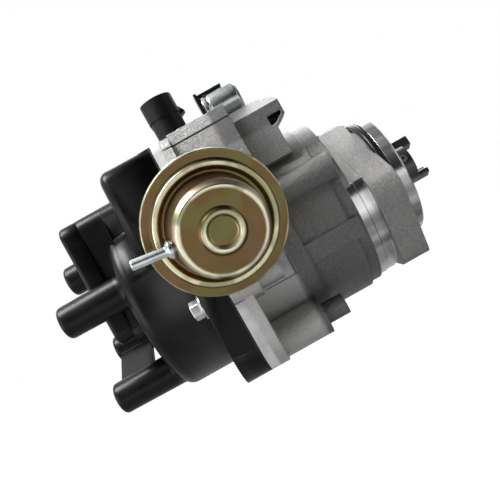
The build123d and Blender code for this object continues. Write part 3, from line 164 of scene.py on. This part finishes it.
class Finish(Shader):
    """A surface finish: one material with its Principled shader."""

    def __init__(self, name):
        self.material = bpy.data.materials.new(name)
        self.material.use_nodes = True
        super().__init__(self.material.node_tree)
        self.shader = self.tree.nodes.new("ShaderNodeBsdfPrincipled")
        output = self.tree.nodes.new("ShaderNodeOutputMaterial")
        self.tree.links.new(self.shader.outputs[0], output.inputs[0])
        self.place = self.node("ShaderNodeTexCoord", output="Object")

    def set(self, **values):
        for name, value in values.items():
            self.feed(self.shader.inputs[name.replace("_", " ")], value)

    def noise(self, size, detail=3.0, roughness=0.5, stretch=None):
        """Soft noise from 0 to 1 whose blotches are about size millimetres across."""
        place = self.vector("MULTIPLY", self.place, stretch) if stretch else self.place
        inputs = {"Vector": place, "Scale": 1 / (size * MM), "Detail": detail, "Roughness": roughness}
        return self.node("ShaderNodeTexNoise", None, inputs)

    def ramp(self, value, *stops):
        return self.node("ShaderNodeValToRGB", {"stops": stops}, {"Fac": value})

    def axis(self, letter):
        """How far along X, Y or Z a point lies, in millimetres."""
        return self.node("ShaderNodeSeparateXYZ", None, {0: self.place}, letter) * (1 / MM)

    def shaft_radius(self):
        """Distance from the shaft's axis, in millimetres."""
        away = self.vector("MULTIPLY", self.place, (0, 1 / MM, 1 / MM))
        return self.vector("LENGTH", away, output="Value")

    def can_radius(self):
        """Distance from the canister's axis, in millimetres."""
        outward = self.vector("SUBTRACT", self.place, tuple(CAN_CENTRE))
        away = self.vector("CROSS_PRODUCT", outward, tuple(CAN_DIR / MM))
        return self.vector("LENGTH", away, output="Value")

    def relief(self, height, depth, strength=1.0, edge=0.0):
        """Feeds a bump of depth millimetres to the shader, over edges rounded by edge millimetres."""
        inputs = {"Height": height, "Distance": depth * MM, "Strength": strength}
        if edge:
            inputs["Normal"] = self.node("ShaderNodeBevel", {"samples": 6}, {"Radius": edge * MM})
        self.set(Normal=self.node("ShaderNodeBump", None, inputs))


def set_stops(ramp, stops):
    while len(ramp.elements) < len(stops):
        ramp.elements.new(0.5)
    for element, (position, colour) in zip(ramp.elements, stops):
        element.position = position
        element.color = colour


def grey(level, warm=0.0):
    return (level * (1 + warm), level, level * (1 - warm), 1)


def moulded(name, colour, roughness, grain=0.35, depth=0.03, edge=0.4, sheen=0.3):
    """Moulded plastic or rubber: fine spark grain, faint cloudy colour and uneven sheen."""
    f = Finish(name)
    cloud = f.noise(9, 4)
    fine = f.noise(grain, 2)
    scuff = f.band(f.noise(2.2, 5, 0.7, (1, 3, 1)), 0.58, 0.72)
    light = tuple(min(1, c * 1.5 + 0.003) for c in colour[:3]) + (1,)
    f.set(Base_Color=f.blend(f.band(cloud, 0.35, 0.75) * 0.8 + scuff * 0.2, colour, light))
    f.set(Roughness=roughness - 0.08 + 0.16 * cloud + 0.08 * scuff, Specular_IOR_Level=sheen)
    f.relief(fine + scuff * 0.4, depth, 0.6, edge)
    return f


# Where the casting's look changes, in millimetres along the shaft, above it or out from it
BOX_END = -54
BOX_HEIGHTS = (-25, 5)
# Painted light on the box, stronger on its lower part than on its upper part
BOX_PAINTED_LIGHT = (0.62, 0.32)
NECK_SPAN = (-53, -20.25)
# Painted shade on the neck and lug
NECK_PAINTED_SHADE = 0.42
# The neck's lit upper side, as (middle, half) upwards, and how much of the painted shade is left off
# there
NECK_TOP = (31, 10)
NECK_TOP_CLEAR = 0.95
JOINT_SPAN = (-20.1, -12)
JOINT_RADII = (36.55, 37.75)
PILOT_START = 0.4
PILOT_FACE_R = 26.9
NEAR_SIDE_Y = -23
# Seams, each (middle, half) upwards and (middle, half) along the shaft
COVER_SEAM = ((51.75, 0.32), (-60, 15))
LOW_LINE = ((-16.3, 0.2), (-60.2, 6.8))
CROSS_LINE = ((-12, 4.3), (-53.4, 0.2))


def cast(name, level):
    """Die-cast aluminium: sandy skin, cloudy tone, pits, and turned bands at the joint and pilot, with
    painted shade on the neck and lug, painted light on the box and painted reflection streaks on the
    turned bands.
    """
    f = Finish(name)
    along = f.axis("X")
    up = f.axis("Z")
    radius = f.shaft_radius()
    cloud = f.noise(11, 5)
    flow = f.noise(5, 4, 0.6, (1, 1, 0.4))
    grit = f.noise(1.1, 5, 0.8)
    pits = f.band(f.noise(1.1, 3), 0.64, 0.74)
    tone = f.blend(cloud, grey(level * 0.8, 0.02), grey(level * 1.15, 0.015))
    tone = f.blend(f.band(flow, 0.35, 0.7) * 0.3, tone, grey(level * 0.66, 0.03))
    tone = f.blend(f.band(grit, 0.4, 0.66) * 0.6, tone, grey(level * 1.6, 0.01))
    tone = f.blend(pits * 0.5, tone, grey(level * 0.4, 0.04))

    # As in the photo, neck and lug are darker than the box, and the neck's upper side is not: painted
    # shade on neck and lug, left off the neck's lit upper side, and painted light on the box, paler lower
    # down
    painted_neck_shade = f.past(along, NECK_SPAN[0], 1) * f.short_of(along, NECK_SPAN[1], 0.15)
    painted_neck_shade = painted_neck_shade * (1 - NECK_TOP_CLEAR * f.within(up, *NECK_TOP))
    tone = f.blend(painted_neck_shade * NECK_PAINTED_SHADE, tone, grey(0.0))
    painted_box_light = f.short_of(along, BOX_END, 1) * f.band(up, *BOX_HEIGHTS, *BOX_PAINTED_LIGHT)
    tone = f.blend(painted_box_light, tone, grey(level * 2.2, 0.01))

    # Seams on the near side: under the top cover, and two die lines below the canister
    def line(heights, lengths):
        return f.within(up, *heights) * f.within(along, *lengths)

    seam = line(*COVER_SEAM) + 0.7 * line(*LOW_LINE) + 0.7 * line(*CROSS_LINE)
    seam = seam * f.short_of(f.axis("Y"), NEAR_SIDE_Y, 1)
    tone = f.blend(seam, tone, grey(0.012))

    # Turned bands: both sides of the joint between neck and flange hub, and the pilot
    joint = f.past(along, JOINT_SPAN[0], 0.1) * f.short_of(along, JOINT_SPAN[1], 0.1)
    joint = joint * f.past(radius, JOINT_RADII[0], 0.15) * f.short_of(radius, JOINT_RADII[1], 0.15)
    bright = joint + f.past(along, PILOT_START, 0.1)
    rings = ((along * 0.9 + radius) * (FULL_TURN / 0.4)).sine()
    # Painted reflection: dark and light streaks along the shaft on the turned bands, plain grey on the
    # pilot's face
    painted_reflection_streaks = f.blend(f.band(f.noise(8, 2, 0.4, (0.05, 1, 1)), 0.35, 0.6), grey(0.34), grey(0.78))
    painted_reflection_streaks = f.blend(f.past(radius, PILOT_FACE_R, 0.3), grey(0.5), painted_reflection_streaks)

    f.set(Base_Color=f.blend(bright, tone, painted_reflection_streaks))
    f.set(Metallic=0.92 + 0.08 * bright)
    f.set(Roughness=(0.33 + 0.16 * grit + 0.1 * pits) * (1 - bright) + bright * 0.15)
    skin = (grit + 0.6 * cloud - 0.6 * pits - 1.5 * seam) * (1 - bright)
    f.relief(skin + bright * 0.03 * rings, 0.5, 1.0, 0.6)
    return f


def turned(name, level, roughness=0.24, pitch=0.35, edge=0.25, warm=0.01):
    """Turned or ground steel: fine rings about the shaft, with faint clouding."""
    f = Finish(name)
    rings = ((f.shaft_radius() + f.axis("X") * 0.6) * (FULL_TURN / pitch)).sine()
    cloud = f.noise(3, 3)
    f.set(Base_Color=f.blend(cloud, grey(level * 0.8, warm), grey(level * 1.1, warm)), Metallic=1.0)
    f.set(Roughness=roughness + 0.14 * cloud)
    f.relief(rings * 0.5 + cloud, 0.015, 0.7, edge)
    return f


def plated(name, colour, shade, roughness=0.26, edge=0.25):
    """Plated sheet or screw: cloudy plating with fine brushed specks."""
    f = Finish(name)
    cloud = f.noise(4, 4)
    fine = f.noise(0.3, 2)
    f.set(Base_Color=f.blend(f.band(cloud, 0.3, 0.7), shade, colour), Metallic=0.95)
    f.set(Roughness=roughness + 0.16 * cloud + 0.06 * fine)
    f.relief(fine + cloud, 0.02, 0.6, edge)
    return f


# The radius, in millimetres, at which the gold film's ramp ends
FILM_REACH = 30


def gold_plated(name):
    """Yellow zinc plating on pressed sheet: a thin film that runs from straw to brown, green and rose;
    the straw rings at the rim, bead and dome crests are painted highlights, and the brown of the flats is
    partly painted dark reflection.
    """
    f = Finish(name)
    radius = f.can_radius()
    cloud = f.noise(9, 4)
    film = f.noise(14, 3, 0.4)
    brown_and_painted_dark_reflection = (0.155, 0.1, 0.042, 1)
    rose = (0.2, 0.115, 0.075, 1)
    olive = (0.15, 0.15, 0.055, 1)
    painted_straw_highlight = (0.9, 0.89, 0.66, 1)
    gold = (0.5, 0.42, 0.2, 1)
    # Film colour by radius: straw at the crests is a painted highlight, brown on the flats is partly the
    # plating's tint and partly a painted dark reflection
    tone = f.ramp(
        (radius + 1.2 * cloud) / FILM_REACH,
        (0.0, olive),
        (0.17, brown_and_painted_dark_reflection),
        (0.2, gold),
        (0.24, painted_straw_highlight),
        (0.29, brown_and_painted_dark_reflection),
        (0.5, brown_and_painted_dark_reflection),
        (0.53, painted_straw_highlight),
        (0.6, rose),
        (0.68, brown_and_painted_dark_reflection),
        (0.71, gold),
        (0.78, painted_straw_highlight),
        (0.8, brown_and_painted_dark_reflection),
        (0.9, brown_and_painted_dark_reflection),
        (0.93, painted_straw_highlight),
    )
    tone = f.blend(f.band(film, 0.48, 0.6) * 0.65, tone, olive)
    tone = f.blend(f.short_of(film, 0.4, 0.06) * 0.4, tone, rose)
    f.set(Base_Color=tone, Metallic=1.0, Roughness=0.26 + 0.12 * cloud)
    rings = (radius * (FULL_TURN / 0.5)).sine()
    f.relief(rings * 0.3 + f.noise(0.4, 2), 0.012, 0.7)
    return f


finishes = {
    "cap_plastic": moulded("cap_plastic", (0.003, 0.003, 0.0034, 1), 0.3, edge=0.6, sheen=0.2),
    "terminal_brass": turned("terminal_brass", 0.6, 0.28),
    "gasket_rubber": moulded("gasket_rubber", (0.02, 0.02, 0.02, 1), 0.7),
    "spacer_plastic": moulded("spacer_plastic", (0.6, 0.62, 0.61, 1), 0.45),
    "screw_steel": plated("screw_steel", grey(0.66, 0.0), grey(0.46, 0.01), 0.2),
    "cast_aluminium": cast("cast_aluminium", 0.27),
    "gold_zinc": gold_plated("gold_zinc"),
    "bright_zinc": plated("bright_zinc", (0.72, 0.75, 0.76, 1), (0.52, 0.55, 0.57, 1), 0.12),
    "seal_rubber": moulded("seal_rubber", (0.008, 0.008, 0.009, 1), 0.3),
    "bearing_steel": turned("bearing_steel", 0.6, 0.16),
    "bush_bronze": plated("bush_bronze", (0.42, 0.24, 0.1, 1), (0.3, 0.16, 0.07, 1), 0.4),
    "shaft_steel": turned("shaft_steel", 0.55, 0.2),
    "dark_steel": turned("dark_steel", 0.1, 0.3),
    "plate_zinc": plated("plate_zinc", (0.6, 0.62, 0.63, 1), (0.42, 0.44, 0.46, 1), 0.3),
    "spring_steel": plated("spring_steel", grey(0.4), grey(0.26), 0.28),
    "rotor_plastic": moulded("rotor_plastic", (0.03, 0.018, 0.012, 1), 0.45),
    "brush_carbon": moulded("brush_carbon", (0.02, 0.02, 0.021, 1), 0.6),
    "coil_resin": moulded("coil_resin", (0.016, 0.015, 0.015, 1), 0.3),
    "connector_plastic": moulded("connector_plastic", (0.005, 0.005, 0.0055, 1), 0.45, sheen=0.22),
    "pin_tin": plated("pin_tin", grey(0.66), grey(0.5), 0.3),
    "strap_black": moulded("strap_black", (0.01, 0.01, 0.011, 1), 0.32),
}

slot_of = {part["node"]: part["material_slot"] for part in frame["record"]["subparts"]}

for name, node in nodes.items():
    node.data.materials.clear()
    node.data.materials.append(finishes[slot_of[name]].material)


# New pieces. Points nearer than CLOSE are one, and a spun ring is rounded where it bends more than BENT
CLOSE = 1e-6
LEVEL = 1e-7
BENT = 0.25


def level_ring(edge):
    """Whether an edge lies along a ring about Z."""
    start, end = (vert.co for vert in edge.verts)
    return abs(start.z - end.z) < LEVEL and abs(start.xy.length - end.xy.length) < LEVEL


def spun(profile, corner=0.0, wall=0.0, steps=120):
    """Spins (radius, height) pairs about Z; rounds the rings that bend and gives the sheet a wall."""
    bm = bmesh.new()
    line = [bm.verts.new((radius * MM, 0, height * MM)) for radius, height in profile]
    runs = [bm.edges.new(pair) for pair in zip(line, line[1:])]
    bmesh.ops.spin(
        bm, geom=line + runs, cent=(0, 0, 0), axis=(0, 0, 1), angle=FULL_TURN, steps=steps, use_merge=True
    )
    bmesh.ops.remove_doubles(bm, verts=bm.verts, dist=CLOSE)
    if corner:
        shared = [edge for edge in bm.edges if len(edge.link_faces) == 2]
        bent = [edge for edge in shared if edge.calc_face_angle(0) > BENT]
        round_edges(bm, [edge for edge in bent if level_ring(edge)], corner)
    bmesh.ops.recalc_face_normals(bm, faces=bm.faces)
    if wall:
        bmesh.ops.solidify(bm, geom=bm.faces[:], thickness=wall * MM)
    return bm


def round_edges(bm, edges, radius, segments=4):
    bmesh.ops.bevel(
        bm,
        geom=edges,
        offset=radius * MM,
        offset_type="OFFSET",
        segments=segments,
        profile=0.5,
        affect="EDGES",
        clamp_overlap=True,
        material=-1,
    )


def edge_runs(edge, letter):
    """Whether an edge runs along X, Y or Z, which are 0, 1 and 2."""
    run = (edge.verts[1].co - edge.verts[0].co).normalized()
    return abs(run[letter]) > 0.99


def stand(bm, origin, along, aside):
    """Turns a shape's Z along one way and its X along another, and moves it to its place."""
    place = Matrix((aside, along.cross(aside), along)).transposed().to_4x4()
    place.translation = origin
    bmesh.ops.transform(bm, matrix=place, verts=bm.verts)


def copied(name):
    """A solid's mesh with its loose triangles joined."""
    bm = bmesh.new()
    bm.from_mesh(nodes[name].data)
    bmesh.ops.remove_doubles(bm, verts=bm.verts, dist=CLOSE)
    return bm


def joined(*parts):
    """One mesh of several."""
    whole = bmesh.new()
    for part in parts:
        mesh = bpy.data.meshes.new("part")
        part.to_mesh(mesh)
        part.free()
        whole.from_mesh(mesh)
        bpy.data.meshes.remove(mesh)
    return whole


def keep(name, bm, slot, body, *stands_for, crease=40):
    """Makes a finished mesh a piece in a slot's finish; it rides on the body, if one is given."""
    mesh = bpy.data.meshes.new(name)
    bm.to_mesh(mesh)
    bm.free()
    mesh.polygons.foreach_set("use_smooth", [True] * len(mesh.polygons))
    mesh.set_sharp_from_angle(angle=math.radians(crease))
    mesh.materials.append(finishes[slot].material)
    piece = bpy.data.objects.new(name, mesh)
    bpy.context.scene.collection.objects.link(piece)
    if body:
        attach(piece, body)
    if stands_for:
        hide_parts(*stands_for)
    return piece


# Canister front shell: rolled rim, annulus, bead, valley, dome and ring bead, with soft pressed corners
RIM_R = 27
DOME_HIGH = 15.6
SHELL_WALL = 0.9
cover_line = (
    (RIM_R - 1.6, -1.9),
    (RIM_R, -1.9),
    (RIM_R, 1.6),
    (23.4, 1.3),
    (22.8, 3.3),
    (20.9, 3.3),
    (19.9, 1.7),
    (18.5, 1.7),
    (17.5, DOME_HIGH - 2.4),
    (15.9, DOME_HIGH),
    (8.5, DOME_HIGH - 0.2),
    (7.6, DOME_HIGH + 1.1),
    (6, DOME_HIGH + 1.1),
    (5.1, DOME_HIGH - 0.4),
    (0, DOME_HIGH - 0.4),
)
shell = spun(cover_line, corner=0.42, wall=SHELL_WALL)
stand(shell, CAN_CENTRE, CAN_DIR, HOSE_DIR)
keep("pressed_cover", shell, "gold_zinc", "root", "canister_cover")

# Hose nipple: tube with a swaged collar and a chamfered mouth
NIPPLE_HEIGHT = 11.2
NIPPLE_START = 13.7
NIPPLE_BORE = 1.1
NIPPLE_R = 1.9
COLLAR_R = 3.4
nipple_line = (
    (NIPPLE_BORE, 0),
    (NIPPLE_R, 0),
    (NIPPLE_R, 3.0),
    (2.5, 3.4),
    (COLLAR_R, 4.4),
    (COLLAR_R, 5.4),
    (2.5, 6.3),
    (NIPPLE_R, 6.7),
    (NIPPLE_R, 18.8),
    (1.6, 19.3),
    (1.3, 19.3),
    (NIPPLE_BORE, 18.9),
    (NIPPLE_BORE, 0),
)
nipple = spun(nipple_line, corner=0.14, steps=48)
nipple_root = CAN_CENTRE + (CAN_DIR * NIPPLE_HEIGHT + HOSE_DIR * NIPPLE_START) * MM
stand(nipple, nipple_root, HOSE_DIR, CAN_DIR)
keep("swaged_nipple", nipple, slot_of["hose_nipple"], "root", "hose_nipple")

# Condenser can: rolled groove by the strap and a rounded closed end
CONDENSER_R = 7.5
CONDENSER_LONG = 17.5
CONDENSER_PLACE = Vector((-52, 2, 64.8)) * MM
condenser_line = (
    (0, 0),
    (CONDENSER_R - 0.7, 0),
    (CONDENSER_R, 0.7),
    (CONDENSER_R, 2.4),
    (CONDENSER_R - 0.4, 2.9),
    (CONDENSER_R - 0.4, 3.3),
    (CONDENSER_R, 3.8),
    (CONDENSER_R, CONDENSER_LONG - 1.4),
    (CONDENSER_R - 1.4, CONDENSER_LONG),
    (CONDENSER_R - 2.6, CONDENSER_LONG),
    (CONDENSER_R - 2.9, CONDENSER_LONG - 0.3),
    (0, CONDENSER_LONG - 0.3),
)
condenser = spun(condenser_line, corner=0.22, steps=72)
stand(condenser, CONDENSER_PLACE, Vector((1, 0, 0)), Vector((0, 0, 1)))
keep("condenser_can", condenser, slot_of["condenser"], "root", "condenser")

# Cap screws: hex heads with a rolled flange and a shallow dish, and their shanks
HEX_SIDES = 6
CAP_FACE = -91
CAP_SCREW_PLACES = ((-44, -9.6), (44, -9.6), (30, -37))
SCREW_TURN = math.radians(60)
HEAD_ACROSS = 7.2
HEAD_HIGH = 3.9
HEAD_STANDS = 1.2
HEAD_ROUND = 0.45
DISH_RIM = 0.8
DISH_SLOPE = 0.35
DISH_DEEP = 0.5
washer_line = ((0, 0), (5.4, 0), (5.4, 0.7), (4.4, 1.4), (0, 1.5))
shank_line = ((0, -29), (2.2, -29), (2.5, -28.6), (2.5, 0.4), (0, 0.4))


def hex_head():
    """A hex prism on Z with a chamfered crown and a dish in its top."""
    bm = bmesh.new()
    corner_r = HEAD_ACROSS / 2 / math.cos(math.pi / HEX_SIDES) * MM
    bmesh.ops.create_cone(
        bm,
        cap_ends=True,
        cap_tris=False,
        segments=HEX_SIDES,
        radius1=corner_r,
        radius2=corner_r,
        depth=HEAD_HIGH * MM,
    )
    bmesh.ops.translate(bm, verts=bm.verts, vec=(0, 0, (HEAD_STANDS + HEAD_HIGH / 2) * MM))
    top = max(bm.faces, key=lambda face: face.calc_center_median().z)
    upright = [edge for edge in bm.edges if edge_runs(edge, 2)]
    round_edges(bm, list(top.edges) + upright, HEAD_ROUND, 3)
    top = max(bm.faces, key=lambda face: face.calc_area() * (face.normal.z > 0.9))
    bmesh.ops.inset_region(bm, faces=[top], thickness=DISH_RIM * MM, depth=0)
    bmesh.ops.inset_region(bm, faces=[top], thickness=DISH_SLOPE * MM, depth=-DISH_DEEP * MM)
    return bm


screws = []
for y, z in CAP_SCREW_PLACES:
    screw = joined(hex_head(), spun(washer_line, corner=0.25, steps=48), spun(shank_line, steps=32))
    upright_flat = Vector((0, math.cos(SCREW_TURN), math.sin(SCREW_TURN)))
    stand(screw, Vector((CAP_FACE, y, z)) * MM, Vector((-1, 0, 0)), upright_flat)
    screws.append(screw)
keep("flanged_screws", joined(*screws), slot_of["cap_screws"], "root", "cap_screws", crease=30)


# Springs that press on or pull the parts, copied from the CAD coils as pieces of their own
# The springs' posts, as the circle's radius and the angle round the shaft
PLATE_POST = (22, 25)
WIRE_CREASE = 75


def pressed_spring(name, node):
    """A coil spring copied from its CAD node as a piece on the root body, with a mesh of its own."""
    coil = copied(node)
    piece = keep(name, coil, slot_of[node], "root", node, crease=WIRE_CREASE)
    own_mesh(piece)


def post_place(radius, degrees):
    """A place in the plane across the shaft."""
    angle = math.radians(degrees)
    return Vector((0, math.cos(angle), math.sin(angle))) * radius * MM


pressed_spring("return_spring", "diaphragm_spring")
pressed_spring("brush_push_spring", "brush_spring")
for letter, turn in (("a", 0), ("b", 180)):
    plate_post = post_place(PLATE_POST[0], PLATE_POST[1] + turn)
    pair = "governor_springs"
    coil = copied(pair)
    other_spring = [vert for vert in coil.verts if vert.co.dot(plate_post) < 0]
    bmesh.ops.delete(coil, geom=other_spring, context="VERTS")
    piece = keep("pull_spring_" + letter, coil, slot_of[pair], None, pair, crease=WIRE_CREASE)
    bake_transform(piece)


# Cap: its block stands flush on the turret, with a skirt on the underside alone
BLOCK_MIDDLE_Z = 19.75
BLOCK_WIDE = 42.06
BLOCK_HIGH = 56.56
BLOCK_END = -133.03
BLOCK_LONG = 32
BLOCK_ROUND = 6
BLOCK_END_ROUND = 1.8
BLOCK_SKIN = 0.5
SKIRT_HALF = (24, 31.25)
SKIRT_ROUND = 6
SKIRT_SPAN = (-124.3, -112.9)
SKIRT_KEPT_BELOW = -5.6
SKIRT_SLACK = 0.04
# How much the rest of the skirt is drawn in, so that it hides in the block
SKIRT_DRAWN_IN = (1, 0.85, 0.88)


def off_skirt(y, z):
    """How far a point lies from the skirt's outline, in millimetres."""
    aside = abs(y) - SKIRT_HALF[0] + SKIRT_ROUND
    above = abs(z - BLOCK_MIDDLE_Z) - SKIRT_HALF[1] + SKIRT_ROUND
    outward = math.hypot(max(aside, 0), max(above, 0)) + min(max(aside, above), 0)
    return abs(outward - SKIRT_ROUND)


cap = copied("distributor_cap")
skirt = [
    vert
    for vert in cap.verts
    if SKIRT_SPAN[0] < vert.co.x / MM < SKIRT_SPAN[1]
    and vert.co.z / MM > SKIRT_KEPT_BELOW
    and off_skirt(vert.co.y / MM, vert.co.z / MM) < SKIRT_SLACK
]
from_middle = Matrix.Translation((0, 0, -BLOCK_MIDDLE_Z * MM))
bmesh.ops.scale(cap, vec=SKIRT_DRAWN_IN, space=from_middle, verts=skirt)
block = bmesh.new()
block_middle = Vector((BLOCK_END + BLOCK_LONG / 2, 0, BLOCK_MIDDLE_Z)) * MM
bmesh.ops.create_cube(block, size=MM)
bmesh.ops.scale(block, vec=(BLOCK_LONG, BLOCK_WIDE, BLOCK_HIGH), verts=block.verts)
bmesh.ops.translate(block, vec=block_middle, verts=block.verts)
round_edges(block, [edge for edge in block.edges if edge_runs(edge, 0)], BLOCK_ROUND, 10)
outer_end = min(block.faces, key=lambda face: face.calc_center_median().x)
round_edges(block, list(outer_end.edges), BLOCK_END_ROUND, 5)
# The ends stay open, because a tower's bore comes out of one of them
ends = [face for face in block.faces if abs(face.normal.x) > 0.999]
bmesh.ops.delete(block, geom=ends, context="FACES")
bmesh.ops.solidify(block, geom=block.faces[:], thickness=BLOCK_SKIN * MM)
keep("moulded_cap", joined(cap, block), "cap_plastic", "root", "distributor_cap", crease=32)


# Floor, studio light and camera
FLOOR_Z = -0.16
FLOOR_HALF = 4
FLOOR_TONE = 0.3
FLOOR_GLOW = 0.82
# In reflections the floor glows as a painted reflection, pale in front of the object, and fades to a
# painted shadow under it, between these Y
MIRRORED_SPAN = (-300, -170)
MIRRORED_GLOW = (0.75, 0.02)
# The way to the sky's bright side, and how the sky's level rises towards it
SKY_SIDE = (-0.72, 0.02, 0.69)
SKY_SPAN = (0.1, 0.95)
SKY_LEVELS = (0.02, 1.0)
MIDDLE = (-0.065, 0, 0.005)
CAMERA_PLACE = (-0.0649, -0.295, 0.00067)
CAMERA_ROLL = math.radians(29.3)
CAMERA_LENS = 46.8
# Each lamp's name, place, width, height and power
LAMPS = (
    ("key", (-0.42, -0.12, 0.72), 0.35, 0.35, 8.5),
    ("edge_light", (0.6, -0.2, 0.1), 0.12, 0.5, 0.5),
    ("low_fill", (-0.6, -0.3, 0.0), 0.5, 0.4, 1.2),
    ("back_light", (0.1, 0.6, 0.45), 0.6, 0.4, 2.5),
)


class Backdrop(Finish):
    """A plain floor that the camera sees as white, and that keeps the object's shadow; what metal
    reflects of it is a painted glow with a painted shadow under the object.
    """

    def __init__(self, name):
        super().__init__(name)
        self.set(Base_Color=grey(FLOOR_TONE), Roughness=0.9 + 0.05 * self.noise(60))
        seen = self.node("ShaderNodeLightPath", output="Is Camera Ray")
        mirrored = self.node("ShaderNodeLightPath", output="Is Glossy Ray")
        through = self.node("ShaderNodeLightPath", output="Is Transmission Ray")
        # Painted reflection: a glow seen only in reflections, pale in front of the object and dark under
        # it as a painted shadow
        painted_floor_reflection = mirrored * self.band(self.axis("Y"), *MIRRORED_SPAN, *MIRRORED_GLOW)
        self.set(Emission_Color=self.blend(seen + painted_floor_reflection + through, grey(0.0), grey(1.0)))
        self.shader.inputs["Emission Strength"].default_value = FLOOR_GLOW


def lay_floor():
    mesh = bpy.data.meshes.new("floor")
    bm = bmesh.new()
    bmesh.ops.create_grid(bm, x_segments=1, y_segments=1, size=FLOOR_HALF)
    bmesh.ops.translate(bm, verts=bm.verts, vec=(0, 0, FLOOR_Z))
    bm.to_mesh(mesh)
    bm.free()
    floor = bpy.data.objects.new("floor", mesh)
    bpy.context.scene.collection.objects.link(floor)
    floor.data.materials.append(Backdrop("floor_white").material)


def lamp(name, place, wide, high, power):
    """A rectangular lamp that faces the object's middle."""
    light = bpy.data.lights.new(name, "AREA")
    light.shape = "RECTANGLE"
    light.size = wide
    light.size_y = high
    light.energy = power
    obj = bpy.data.objects.new(name, light)
    bpy.context.scene.collection.objects.link(obj)
    obj.location = place
    obj.rotation_euler = (Vector(MIDDLE) - Vector(place)).to_track_quat("-Z", "Y").to_euler()


def light_world():
    """Soft light from the upper left that falls off to the right, before a white backdrop."""
    world = bpy.data.worlds.new("studio")
    world.use_nodes = True
    bpy.context.scene.world = world
    sky = Shader(world.node_tree)
    facing = sky.node("ShaderNodeTexCoord", output="Object")
    lit_side = sky.vector("DOT_PRODUCT", facing, SKY_SIDE, "Value")
    behind = sky.vector("DOT_PRODUCT", facing, (0.0, 1.0, 0.0), "Value")
    seen = sky.node("ShaderNodeLightPath", output="Is Camera Ray")
    mirrored = sky.node("ShaderNodeLightPath", output="Is Glossy Ray")
    through = sky.node("ShaderNodeLightPath", output="Is Transmission Ray")
    level = sky.band(lit_side, *SKY_SPAN, *SKY_LEVELS)
    white = seen + through + mirrored * sky.band(behind, 0.1, 0.7)
    shade = sky.blend(white, sky.blend(level, grey(0.0), grey(1.0)), grey(1.0))
    light = sky.node("ShaderNodeBackground", None, {"Color": shade, "Strength": 1.0})
    output = sky.tree.nodes.new("ShaderNodeOutputWorld")
    sky.tree.links.new(light.socket, output.inputs[0])


def set_camera():
    """Looks along +Y, rolled as the photo is."""
    right = Vector((math.cos(CAMERA_ROLL), 0, -math.sin(CAMERA_ROLL)))
    up = Vector((math.sin(CAMERA_ROLL), 0, math.cos(CAMERA_ROLL)))
    back = Vector((0, -1, 0))
    camera = bpy.data.cameras.new("camera")
    camera.sensor_width = 36
    camera.lens = CAMERA_LENS
    camera.clip_start = 0.01
    camera.clip_end = 50
    obj = bpy.data.objects.new("camera", camera)
    bpy.context.scene.collection.objects.link(obj)
    turn = Matrix((right, up, back)).transposed().to_4x4()
    obj.matrix_world = Matrix.Translation(CAMERA_PLACE) @ turn
    bpy.context.scene.camera = obj


lay_floor()
for settings in LAMPS:
    lamp(*settings)
light_world()
set_camera()
bpy.context.scene.view_settings.view_transform = "Standard"
